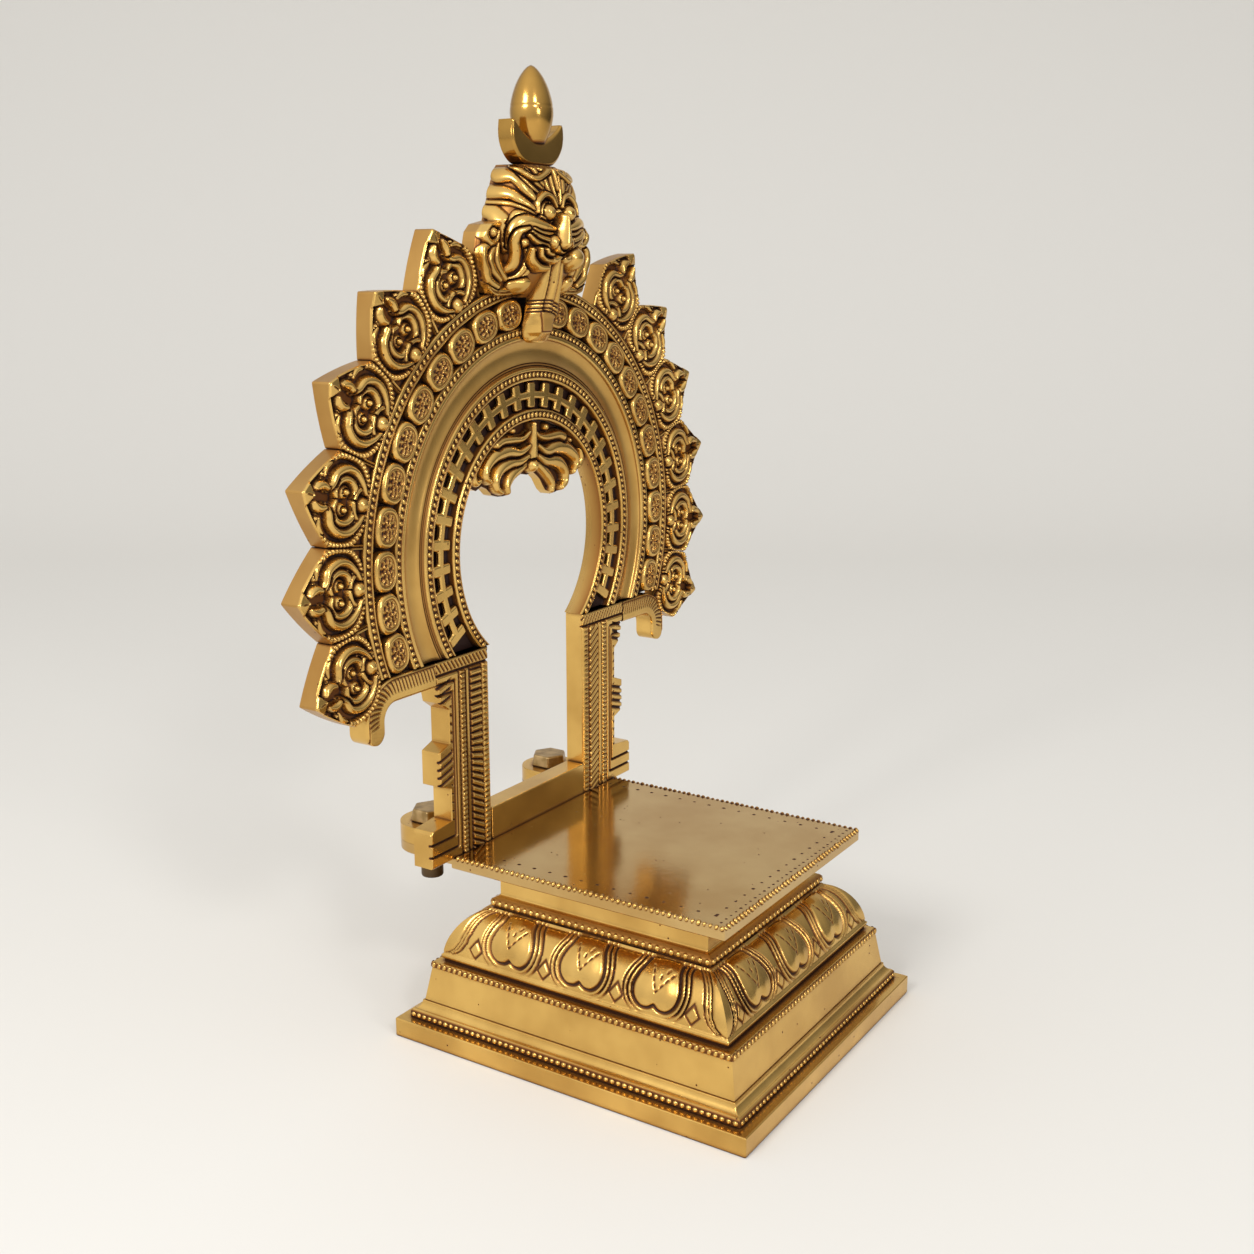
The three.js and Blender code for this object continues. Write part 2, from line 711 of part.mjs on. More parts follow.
// A bud turned on a flat foot, fullest below its middle and drawn up to a blunt point.
function budFinial() {
  const foot = ringOuter + maskHeight + crescentDepth + 2 * seatingGap;
  const footShare = 0.7;
  const belly = 0.4;
  const profile = [new THREE.Vector2(0, 0)];
  const steps = 10;
  for (let i = 0; i <= steps; i += 1) {
    const t = i / steps;
    const share = t < belly
      ? footShare + (1 - footShare) * Math.sin(Math.PI / 2 * t / belly)
      : (1 - ((t - belly) / (1 - belly)) ** 1.7) ** 0.65;
    profile.push(new THREE.Vector2(budRadius * share, budHeight * t));
  }
  const turned = new THREE.LatheGeometry(profile, 12);
  return turned.rotateX(Math.PI / 2).translate(0, crownSet, foot);
}

// An acanthus spray that fills the top of the opening: leaves curl away from a central stem.
function leafPendant() {
  const radius = openingRadius - seatingGap;
  const half = radius * Math.sin(pendantHalfAngle);
  const shoulder = radius * Math.cos(pendantHalfAngle);
  const at = (x, z) => [x * half, shoulder + z * stemLength];
  const outline = new THREE.Shape();
  outline.moveTo(...at(0, -0.03));
  outline.lineTo(...at(0.22, 0.03));
  outline.quadraticCurveTo(...at(0.3, -0.39), ...at(0.46, -0.39));
  outline.quadraticCurveTo(...at(0.62, -0.39), ...at(0.7, -0.16));
  outline.quadraticCurveTo(...at(0.86, -0.26), ...at(0.97, -0.08));
  outline.lineTo(...at(1, 0));
  outline.absarc(0, 0, radius, Math.PI / 2 - pendantHalfAngle, Math.PI / 2 + pendantHalfAngle, false);
  outline.lineTo(...at(-0.97, -0.08));
  outline.quadraticCurveTo(...at(-0.86, -0.26), ...at(-0.7, -0.16));
  outline.quadraticCurveTo(...at(-0.62, -0.39), ...at(-0.46, -0.39));
  outline.quadraticCurveTo(...at(-0.3, -0.39), ...at(-0.22, 0.03));
  const front = archThickness - pendantThickness - brazeGap;
  const plate = upright(outline, front, pendantThickness, 0, 5);
  const stem = lump(0, front, shoulder + stemLength * 0.44, half * 0.075, 3, stemLength / 2);
  const leaves = {
    upper: [[0.06, 0.74], [0.23, 0.42], [0.43, 0.53]],
    spreading: [[0.06, 0.53], [0.32, 0.26], [0.64, 0.32], [0.84, -0.05]],
    curling: [[0.06, 0.26], [0.29, 0.1], [0.52, 0], [0.61, -0.26]],
    inner: [[0.14, 0.05], [0.29, -0.1], [0.43, -0.21]],
  };
  const ribs = Object.values(leaves).map((places) => strand(
    places.map(([x, z]) => [x * half, front - 0.5, shoulder + z * stemLength]), half * 0.13, 1.8,
  ));
  const spray = join(plate, stem, ...ribs.flatMap((rib) => [rib, mirrored(rib)]));
  const hoop = new THREE.CylinderGeometry(radius, radius, 4 * archThickness, ringFacets);
  return spray.intersect(solid(hoop));
}

// A hexagon-headed bolt. Its shank passes the lug and the ear and shows below them.
function bolt() {
  const corner = boltAcrossFlats / Math.sqrt(3);
  const shank = lugThickness + seatThickness + boltStub;
  const headFoot = archSeat + lugThickness;
  const head = new THREE.CylinderGeometry(corner * 0.9, corner, boltHeadHeight, 6);
  head.rotateX(Math.PI / 2).translate(0, 0, headFoot + boltHeadHeight / 2);
  const stem = new THREE.CylinderGeometry(boltDiameter / 2, boltDiameter / 2, shank + 1, 20);
  stem.rotateX(Math.PI / 2).translate(0, 0, headFoot - (shank - 1) / 2);
  return join(head, stem);
}

const throne = new THREE.Group();
throne.position.y = (slabDepth / 2 - rearReach) / 2;
throne.add(...pedestalPieces());

const arch = new THREE.Group();
arch.position.set(0, archFront, archSeat + ringRise);
throne.add(arch);
arch.add(part('arch_ring', ring()));
arch.add(part('fret_band', fretBand(), darkBrass));
arch.add(part('crossbar', crossbar()));
arch.add(part('leaf_pendant', leafPendant()));
arch.add(part('kirtimukha_mask', kirtimukhaMask()));
arch.add(part('crescent', crescent()));
arch.add(part('bud_finial', budFinial()));

const sides = [['left', -1], ['right', 1]];
for (const [side, sign] of sides) {
  const own = (geometry) => (sign > 0 ? geometry : mirrored(geometry));
  arch.add(part(`pillar_${side}`, own(leg())));
  arch.add(part(`hook_bracket_${side}`, own(hookBracket(hookReach[side]))));
  arch.add(part(`arch_lug_${side}`, own(archLug())));
  const hookEnd = legInner + capReach + hookReach[side] + seatingGap;
  const hookRoom = solid(box(-hookEnd, hookEnd, -archThickness, 2 * archThickness, -ringRise, capTop));
  for (let i = 0; i < flameCount; i += 1) {
    const leaf = surface(flame(flamePitch[side]));
    leaf.rotateY(sign * (firstFlame[side] + i * flamePitch[side]));
    arch.add(part(`flame_${side}_${i + 1}`, solid(leaf).subtract(hookRoom)));
  }
  for (let i = 1; i <= medallionCount; i += 1) {
    const angle = sign * i * medallionPitch;
    const boss = part(`medallion_${side}_${i}`, medallion());
    boss.position.set(medallionRadius * Math.sin(angle), 0, medallionRadius * Math.cos(angle));
    boss.rotation.y = angle;
    arch.add(boss);
  }
  const fixing = part(`bolt_${side}`, bolt(), boltMetal);
  fixing.position.set(sign * boltSpacing / 2, boltY, 0);
  throne.add(fixing);
}

export default throne;
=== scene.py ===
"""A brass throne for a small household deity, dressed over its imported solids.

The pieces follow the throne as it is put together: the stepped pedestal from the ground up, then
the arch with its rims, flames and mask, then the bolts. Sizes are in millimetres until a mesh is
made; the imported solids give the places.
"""
import bmesh
import bpy
import math
import numpy as np
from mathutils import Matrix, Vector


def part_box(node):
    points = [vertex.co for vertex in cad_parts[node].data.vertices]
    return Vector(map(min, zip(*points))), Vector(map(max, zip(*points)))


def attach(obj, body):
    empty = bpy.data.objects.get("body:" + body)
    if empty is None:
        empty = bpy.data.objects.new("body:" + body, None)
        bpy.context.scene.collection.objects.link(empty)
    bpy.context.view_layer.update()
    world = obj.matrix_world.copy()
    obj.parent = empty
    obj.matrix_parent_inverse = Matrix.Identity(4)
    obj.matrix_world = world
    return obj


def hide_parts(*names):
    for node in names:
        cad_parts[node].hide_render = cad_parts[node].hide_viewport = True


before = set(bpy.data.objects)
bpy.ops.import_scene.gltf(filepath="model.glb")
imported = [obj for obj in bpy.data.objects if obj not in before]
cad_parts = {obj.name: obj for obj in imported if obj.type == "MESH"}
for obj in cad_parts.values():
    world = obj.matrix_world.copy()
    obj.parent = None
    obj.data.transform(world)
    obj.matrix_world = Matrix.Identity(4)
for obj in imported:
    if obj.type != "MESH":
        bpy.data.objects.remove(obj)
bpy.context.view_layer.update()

# --- Foot slab
# The lowest step, a plain polished slab of cast brass, hollow behind its rim. Years of hand
# polishing have left its faces bright and a little uneven, with brown tarnish kept in the pores.

MM = 0.001


def linear(hex_colour):
    """A colour written as sRGB hex, in the linear values that Blender's nodes take."""
    def channel(at):
        value = int(hex_colour[at:at + 2], 16) / 255
        return value / 12.92 if value <= 0.04045 else ((value + 0.055) / 1.055) ** 2.4
    return (channel(1), channel(3), channel(5), 1.0)


def add_node(tree, kind, inputs=None, **settings):
    """Adds a node with its settings.

    An input given a socket is linked to it, one given a node to its first output, others are set.
    """
    made = tree.nodes.new(kind)
    for key, value in settings.items():
        setattr(made, key, value)
    for key, value in (inputs or {}).items():
        if isinstance(value, bpy.types.Node):
            value = value.outputs[0]
        if isinstance(value, bpy.types.NodeSocket):
            tree.links.new(value, made.inputs[key])
        else:
            made.inputs[key].default_value = value
    return made


PORE_SPACING = 5.5
WAVE_LENGTH, WAVE_HEIGHT = 7.0, 0.6      # of the soft waves that hand polishing leaves
DULL_ROUGHNESS = 0.62                    # of full tarnish


def brass(name, bright, deep, stain, tarnish, roughness, crevice, cloud=26.0, waviness=0.12):
    """Cast brass, polished by hand: bright on what the cloth reaches, brown where it doesn't.

    stain is the first brown of a corner and tarnish its darkest. crevice is how far they creep out
    of a corner and cloud the size of the patches of bright and deep metal, in mm.
    """
    material = bpy.data.materials.new(name)
    material.use_nodes = True
    tree = material.node_tree
    tree.nodes.clear()
    place = add_node(tree, "ShaderNodeTexCoord").outputs["Object"]
    patches = add_node(tree, "ShaderNodeTexNoise", {
        "Vector": place, "Scale": 1 / (cloud * MM), "Detail": 3.0, "Roughness": 0.55})
    tone = add_node(tree, "ShaderNodeMapRange", {
        "Value": patches, "From Min": 0.35, "From Max": 0.65})
    metal = add_node(tree, "ShaderNodeMix", {
        0: tone, 6: linear(bright), 7: linear(deep)}, data_type="RGBA")
    # Casting pores, about half a millimetre wide, with a centimetre or two between them
    pore = add_node(tree, "ShaderNodeTexVoronoi", {
        "Vector": place, "Scale": 1 / (PORE_SPACING * MM), "Randomness": 1.0})
    pore_depth = add_node(tree, "ShaderNodeMapRange", {
        "Value": pore, "From Min": 0.03, "From Max": 0.075, "To Min": 1.0, "To Max": 0.0})
    # Tarnish stays where the mesh says, in every tight corner and in the pores
    carved = add_node(tree, "ShaderNodeAttribute", attribute_name="tarnish").outputs["Fac"]
    open_sky = add_node(tree, "ShaderNodeAmbientOcclusion", {
        "Distance": crevice * MM}, samples=6, only_local=False)
    corner = add_node(tree, "ShaderNodeMapRange", {
        "Value": open_sky.outputs["AO"], "From Min": 0.38, "From Max": 0.88,
        "To Min": 1.0, "To Max": 0.0})
    kept = add_node(tree, "ShaderNodeMath", {0: carved, 1: corner}, operation="MAXIMUM")
    kept = add_node(tree, "ShaderNodeMath", {0: kept, 1: pore_depth}, operation="MAXIMUM")
    kept = add_node(tree, "ShaderNodeClamp", {"Value": kept})
    colour = metal
    for start, end, darker in ((0.0, 0.55, stain), (0.45, 1.0, tarnish)):
        covered = add_node(tree, "ShaderNodeMapRange", {
            "Value": kept, "From Min": start, "From Max": end})
        colour = add_node(tree, "ShaderNodeMix", {
            0: covered, 6: colour.outputs[2], 7: linear(darker)}, data_type="RGBA")
    sheen = add_node(tree, "ShaderNodeMapRange", {
        "Value": kept, "To Min": roughness, "To Max": DULL_ROUGHNESS})
    metalness = add_node(tree, "ShaderNodeMapRange", {
        "Value": kept, "To Min": 1.0, "To Max": 0.45})
    hand = add_node(tree, "ShaderNodeTexNoise", {
        "Vector": place, "Scale": 1 / (WAVE_LENGTH * MM), "Detail": 4.0, "Roughness": 0.6})
    rise = add_node(tree, "ShaderNodeMath", {0: hand, 1: pore_depth}, operation="SUBTRACT")
    bump = add_node(tree, "ShaderNodeBump", {
        "Strength": waviness, "Distance": WAVE_HEIGHT * MM, "Height": rise})
    shader = add_node(tree, "ShaderNodeBsdfPrincipled", {
        "Base Color": colour.outputs[2], "Metallic": metalness, "Roughness": sheen,
        "Normal": bump})
    add_node(tree, "ShaderNodeOutputMaterial", {"Surface": shader})
    return material


cast_brass = brass("hand-polished cast brass", bright="#E4BA6A", deep="#C99F56",
                   stain="#865018", tarnish="#280F05", roughness=0.22, crevice=1.9)


def box_mm(node):
    """A CAD node's lower and upper corners, in mm."""
    return [np.array(corner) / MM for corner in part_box(node)]


slab_low, slab_high = box_mm("foot_slab")
half_width, half_depth = (slab_high - slab_low)[:2] / 2
plan_y = (slab_high + slab_low)[1] / 2
slab_top = slab_high[2]
DEPTH_INSET = 1.12      # the tiers step in this much more at the front than at the sides
SLAB_RIM = 12.0         # how wide the slab is from its outside to the hollow under it
CAST_WALL = 4.2         # how thick the tiers over it are
LIP = 0.6               # the narrow edges that a file leaves between two mouldings


def placed(name, data):
    """A new object of the scene, at the origin."""
    thing = bpy.data.objects.new(name, data)
    bpy.context.scene.collection.objects.link(thing)
    return thing


def brown(mesh, tarnish):
    """Keeps with a mesh how brown each of its points is, from 0 to 1."""
    kept = mesh.attributes.new("tarnish", "FLOAT", "POINT")
    kept.data.foreach_set("value", np.clip(np.ravel(tarnish), 0, 1).astype(np.float32))


def smooth_mesh(name, points, faces, tarnish, crisp):
    """A smooth mesh whose edges are hard above the angle crisp, in degrees."""
    mesh = bpy.data.meshes.new(name)
    mesh.from_pydata(np.asarray(points, float).tolist(), [],
                     [list(map(int, face)) for face in faces])
    mesh.validate()
    if tarnish is not None:
        brown(mesh, tarnish)
    mesh.shade_smooth()
    mesh.set_sharp_from_angle(angle=math.radians(crisp))
    return mesh


def make_piece(name, points, faces, material, body, replaced=(), slot="brass", tarnish=None,
               crisp=38, edge=0.0):
    """A finished piece from points in mm: it rides on its body and stands for its CAD nodes.

    tarnish is how brown each point is and edge the width to which a file has rounded its edges.
    """
    mesh = smooth_mesh(name, np.asarray(points, float) * MM, faces, tarnish, crisp)
    mesh.materials.append(material)
    thing = placed(name, mesh)
    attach(thing, body)
    if replaced:
        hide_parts(*replaced)
    if edge:
        worn = thing.modifiers.new("worn edges", "BEVEL")
        worn.width = edge * MM
        worn.segments = 2
        worn.limit_method = "ANGLE"
        worn.angle_limit = math.radians(30)
        worn.harden_normals = True
    return thing


def quads(index, wrap_rows=False, wrap_columns=False):
    """The four-cornered faces of a grid of point numbers."""
    if wrap_rows:
        index = np.vstack([index, index[:1]])
    if wrap_columns:
        index = np.hstack([index, index[:, :1]])
    return np.stack([index[:-1, :-1], index[:-1, 1:], index[1:, 1:], index[1:, :-1]],
                    axis=-1).reshape(-1, 4)


def tier(section, cuts=1, relief=None):
    """A closed section, as (inset, height) corners, carried round the plan with mitred corners.

    cuts is how many columns each side has. relief pushes each point out of the section, in mm.
    """
    rows = np.array(section, float)
    ahead = np.roll(rows, -1, axis=0) - np.roll(rows, 1, axis=0)
    out = np.stack([-ahead[:, 1], ahead[:, 0]], axis=1)
    out /= np.maximum(np.hypot(out[:, 0], out[:, 1]), 1e-9)[:, None]
    push = np.zeros((len(rows), 4 * cuts)) if relief is None else relief
    inset = rows[:, :1] + out[:, :1] * push
    level = rows[:, 1:] + out[:, 1:] * push
    t = np.arange(cuts) / cuts * 2 - 1
    points = np.empty((len(rows), 4 * cuts, 3))
    # The sides follow each other round the plan: front, right, back, left
    for side, turn in enumerate((1, 1, -1, -1)):
        part = slice(side * cuts, (side + 1) * cuts)
        x = turn * (half_width - inset[:, part])
        y = turn * (half_depth - inset[:, part] * DEPTH_INSET)
        points[:, part, 0], points[:, part, 1] = (x, t * y) if side % 2 else (t * x, -y)
    points[:, :, 1] += plan_y
    points[:, :, 2] = level
    index = np.arange(len(rows) * 4 * cuts).reshape(len(rows), 4 * cuts)
    return points.reshape(-1, 3), quads(index, wrap_rows=True, wrap_columns=True)


slab = [(0, 0), (0, slab_top), (SLAB_RIM, slab_top), (SLAB_RIM, 0)]
make_piece("slab_casting", *tier(slab), cast_brass, "pedestal", ["foot_slab"], edge=0.5)

# --- Foot moulding
# A cast moulding on the slab: a row of round beads stands on a narrow step, and a hollow runs up
# from it to the foot of the dado. The beads are chased, so tarnish sits between them.

FOOT_INSET = 3.6
DADO_INSET = 7.1
BEAD_STEP = 2.4


def swelling(start, end, power, steps, hollow=False):
    """Points of a curve between two corners of a section, like a quarter of a fat circle."""
    rise = np.arange(1, steps) / steps
    run = ((1 - (1 - rise) ** power) ** (1 / power) if hollow
           else 1 - (1 - rise ** power) ** (1 / power))
    start, end = np.array(start, float), np.array(end, float)
    return [(start[0] + (end[0] - start[0]) * a, start[1] + (end[1] - start[1]) * b)
            for a, b in zip(run, rise)]


def moulding(name, node, section, browned, tone):
    """A cast tier with straight sides, whose corners in the slice browned are kept brown."""
    kept = np.zeros((len(section), 4))
    kept[browned] = tone
    make_piece(name, *tier(section), cast_brass, "pedestal", [node], tarnish=kept, edge=0.3)


foot_top = box_mm("foot_moulding")[1][2]
hollow_foot = (FOOT_INSET + LIP, slab_top + BEAD_STEP + LIP)
hollow_top = (DADO_INSET - LIP, foot_top - LIP)
foot_section = [(FOOT_INSET, slab_top), (FOOT_INSET, slab_top + BEAD_STEP), hollow_foot,
                *swelling(hollow_foot, hollow_top, 1.6, 8, hollow=True), hollow_top,
                (DADO_INSET - LIP, foot_top), (SLAB_RIM, foot_top), (SLAB_RIM, slab_top)]
behind_foot_beads = slice(0, 2)
moulding("foot_casting", "foot_moulding", foot_section, behind_foot_beads, 0.8)


def set_along_tree():
    """A tree that sets copies of one small piece along its paths, each turned to face outwards."""
    tree = bpy.data.node_groups.new("set along a path", "GeometryNodeTree")
    for socket, kind in (("Paths", "Geometry"), ("Pitch", "Float"), ("Piece", "Object"),
                         ("Size", "Vector"), ("Slant", "Float"), ("Uneven", "Float"),
                         ("Metal", "Material")):
        tree.interface.new_socket(socket, in_out="INPUT", socket_type=f"NodeSocket{kind}")
    tree.interface.new_socket("Row", in_out="OUTPUT", socket_type="NodeSocketGeometry")
    given = add_node(tree, "NodeGroupInput").outputs
    path = add_node(tree, "GeometryNodeMeshToCurve", {"Mesh": given["Paths"]})
    spaced = add_node(tree, "GeometryNodeResampleCurve", {
        "Curve": path, "Length": given["Pitch"]}, mode="LENGTH")
    outward = add_node(tree, "GeometryNodeInputNamedAttribute", {"Name": "facing"},
                       data_type="FLOAT_VECTOR")
    upright = add_node(tree, "FunctionNodeAlignRotationToVector", {"Vector": outward}, axis="Z")
    turned = add_node(tree, "FunctionNodeAlignRotationToVector", {
        "Rotation": upright, "Vector": add_node(tree, "GeometryNodeInputTangent")},
        axis="X", pivot_axis="Z")
    lean = add_node(tree, "FunctionNodeAxisAngleToRotation", {
        "Axis": (0, 0, 1), "Angle": given["Slant"]})
    slanted = add_node(tree, "FunctionNodeRotateRotation", {
        "Rotation": turned, "Rotate By": lean}, rotation_space="LOCAL")
    low_size = add_node(tree, "ShaderNodeMath", {0: 1.0, 1: given["Uneven"]},
                        operation="SUBTRACT")
    by_hand = add_node(tree, "FunctionNodeRandomValue", {
        2: low_size, 3: 1.0, "Seed": 7}, data_type="FLOAT")
    size = add_node(tree, "ShaderNodeVectorMath", {
        0: given["Size"], "Scale": by_hand.outputs[1]}, operation="SCALE")
    pattern = add_node(tree, "GeometryNodeObjectInfo", {"Object": given["Piece"]})
    copies = add_node(tree, "GeometryNodeInstanceOnPoints", {
        "Points": spaced, "Instance": pattern.outputs["Geometry"], "Rotation": slanted,
        "Scale": size})
    real = add_node(tree, "GeometryNodeRealizeInstances", {"Geometry": copies})
    finished = add_node(tree, "GeometryNodeSetMaterial", {
        "Geometry": real, "Material": given["Metal"]})
    add_node(tree, "NodeGroupOutput", {"Row": finished})
    return tree


def domed(radii, heights, around, tarnish):
    """A dome turned about Z, closed below, with a ring of points for each radius."""
    angle = 2 * math.pi * np.arange(around) / around
    points = [(r * math.cos(a), r * math.sin(a), h) for r, h in zip(radii, heights) for a in angle]
    kept = [k for k in tarnish for _ in angle]
    index = np.arange(len(points)).reshape(len(radii), around)
    faces = [*quads(index, wrap_columns=True), index[0][::-1], index[-1]]
    return points, faces, kept


def pattern_piece(name, radii, heights, tarnish):
    """A small dome of unit size for the tree to copy; it is deleted at the end."""
    return placed(name, smooth_mesh(name, *domed(radii, heights, 8, tarnish), crisp=60))


set_along = set_along_tree()
bead = pattern_piece("bead", [0.92, 1.0, 0.76, 0.3], [-0.4, 0.05, 0.66, 0.97],
                     [1.0, 0.75, 0.0, 0.0])


def row_of(name, paths, facings, pitch, piece, size, body, metal=cast_brass, slant=0.0,
           uneven=0.12):
    """Sets a piece along paths of points in mm, as one mesh. size is its full size in mm.

    slant turns each one round the way it faces, and uneven is by how much the smallest falls short.
    """
    points, facing, edges = [], [], []
    for path, outward in zip(paths, facings):
        edges += [(len(points) + i, len(points) + i + 1) for i in range(len(path) - 1)]
        points += [list(np.array(point, float) * MM) for point in path]
        facing.append(np.broadcast_to(np.asarray(outward, float), (len(path), 3)))
    mesh = bpy.data.meshes.new(name)
    mesh.from_pydata(points, edges, [])
    outward = mesh.attributes.new("facing", "FLOAT_VECTOR", "POINT")
    outward.data.foreach_set("vector", np.vstack(facing).astype(np.float32).ravel())
    row = placed(name, mesh)
    modifier = row.modifiers.new("row", "NODES")
    modifier.node_group = set_along
    values = {"Pitch": pitch * MM, "Piece": piece, "Size": [s / 2 * MM for s in size],
              "Slant": slant, "Uneven": uneven, "Metal": metal}
    for socket in set_along.interface.items_tree:
        if socket.name in values:
            modifier[socket.identifier] = values[socket.name]
    graph = bpy.context.evaluated_depsgraph_get()
    finished = bpy.data.meshes.new_from_object(row.evaluated_get(graph))
    row.modifiers.clear()
    row.data = finished
    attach(row, body)
    return row


CORNER_GAP = 1.2      # between the corner of the plan and the middle of a row's end bead


def side_paths(inset, level):
    """A straight path along each side of the plan, and the way that side faces."""
    x, y = half_width - inset, half_depth - inset * DEPTH_INSET
    corners = np.array([(-x, -y), (x, -y), (x, y), (-x, y)])
    paths = []
    for start, end in zip(corners, np.roll(corners, -1, axis=0)):
        step = (end - start) / np.hypot(*(end - start)) * CORNER_GAP
        paths.append([(*(p + (0, plan_y)), level) for p in (start + step, end - step)])
    return paths, [(0, -1, 0), (1, 0, 0), (0, 1, 0), (-1, 0, 0)]


row_of("foot_beads", *side_paths(FOOT_INSET + 0.35, slab_top + BEAD_STEP / 2 + 0.1),
       pitch=2.37, piece=bead, size=(2.4, 2.3, 2.0), body="pedestal")

# --- Dado
# The plain battered wall of the pedestal, with a gadrooned edge under the lotus course. It is the
# largest bright surface, filed flat, with a few pores and a soft brown line in each corner.

DADO_TAPER = 1.9
dado_top = box_mm("dado")[1][2]
taper_end = DADO_INSET + DADO_TAPER
ROPE_LIP = 2.2
dado_section = [(DADO_INSET, foot_top), (taper_end, dado_top - ROPE_LIP),
                (taper_end - LIP / 2, dado_top - ROPE_LIP + LIP / 2),
                (taper_end - LIP / 2, dado_top - LIP),
                (taper_end + LIP / 2, dado_top), (SLAB_RIM + DADO_TAPER, dado_top),
                (SLAB_RIM, foot_top)]
behind_gadroons = slice(2, 4)
moulding("dado_wall", "dado", dado_section, behind_gadroons, 0.7)
row_of("dado_gadroons", *side_paths(taper_end - 0.1, dado_top - ROPE_LIP / 2),
       pitch=2.3, piece=bead, size=(1.9, 2.7, 1.5), body="pedestal", slant=math.radians(-28))

# --- Lotus course
# The swelling above the dado, carved with lotus petals: each side has three broad heart-shaped
# petals inside parallel ribs, small buds stand between them, and a long leaf wraps each corner.

LOTUS_INSET = 11.2
LOTUS_SPREAD = 11.7      # how far its top lies inside its foot
LOTUS_POWER = 1.7        # a quarter of an ellipse would be 2, and a plain slope 1
LOTUS_GROOVE = 0.8
LOTUS_FOOTING = 2.4
FRONT_PITCH, FLANK_PITCH = 28.2, 29.4      # from petal to petal
lotus_top = box_mm("lotus_course")[1][2]
lotus_in = LOTUS_INSET + LOTUS_SPREAD


def smooth(start, end, value):
    """0 before start and 1 after end, with a smooth rise between."""
    t = np.clip((value - start) / (end - start), 0, 1)
    return t * t * (3 - 2 * t)


CURVE_STEPS = 6


def curve_through(points, steps=CURVE_STEPS):
    """A smooth path through the given points, the way a chasing tool is led."""
    p = np.array(points, float)
    p = np.vstack([2 * p[0] - p[1], p, 2 * p[-1] - p[-2]])
    t = np.linspace(0, 1, steps, endpoint=False)[:, None]
    path = [0.5 * (2 * b + (c - a) * t + (2 * a - 5 * b + 4 * c - d) * t ** 2
                   + (3 * b - a - 3 * c + d) * t ** 3)
            for a, b, c, d in zip(p[:-3], p[1:-2], p[2:-1], p[3:])]
    return np.vstack([*path, p[-2:-1]])


def travelled(path):
    """How far along a path each of its points lies."""
    return np.concatenate([[0], np.hypot.reduce(np.diff(path, axis=0), axis=1).cumsum()])


def evenly(path, count):
    """The same path with its points at even steps."""
    run = travelled(path)
    at = np.linspace(0, run[-1], count)
    return np.stack([np.interp(at, run, np.array(path)[:, k]) for k in (0, 1)], axis=1)


def reach_to(u, v, path):
    """Each point's distance to a path, and how far along the path its nearest point lies."""
    best = np.full(np.shape(u), 1e9)
    share = np.zeros(np.shape(u))
    lengths = np.hypot.reduce(np.diff(path, axis=0), axis=1)
    total = max(lengths.sum(), 1e-9)
    done = 0.0
    for (a, b), length in zip(zip(path[:-1], path[1:]), lengths):
        step = b - a
        t = np.clip(((u - a[0]) * step[0] + (v - a[1]) * step[1]) / max(length ** 2, 1e-12), 0, 1)
        away = np.hypot(u - a[0] - t * step[0], v - a[1] - t * step[1])
        nearer = away < best
        best = np.where(nearer, away, best)
        share = np.where(nearer, (done + t * length) / total, share)
        done += length
    return best, share


def ridge(away, half, height):
    """The round top of a raised strand, at a distance from its middle line."""
    return height * np.sqrt(np.clip(1 - (away / half) ** 2, 0, None))


def groove(away, half, depth):
    """A chased line, deepest in the middle."""
    return -depth * np.clip(1 - (away / half) ** 2, 0, None)


SWELL_ROWS, PETAL_CUTS = 66, 300      # carved rows up the swelling, and columns to a side
swell_foot, swell_top = (LOTUS_INSET, dado_top + LOTUS_FOOTING), (lotus_in, lotus_top)
swell = [swell_foot, *swelling(swell_foot, swell_top, LOTUS_POWER, 60), swell_top]
swell_length = travelled(swell)[-1]
swell = evenly(swell, SWELL_ROWS)
under = [(LOTUS_INSET + LOTUS_GROOVE, dado_top),
         (LOTUS_INSET + LOTUS_GROOVE, dado_top + LOTUS_GROOVE),
         (LOTUS_INSET + 0.2, dado_top + LOTUS_GROOVE + 0.5)]
inside = [(lotus_in + CAST_WALL, lotus_top), (lotus_in + CAST_WALL * 0.6, lotus_top - CAST_WALL),
          (LOTUS_INSET + CAST_WALL + LOTUS_GROOVE, dado_top + CAST_WALL),
          (LOTUS_INSET + CAST_WALL + LOTUS_GROOVE, dado_top)]


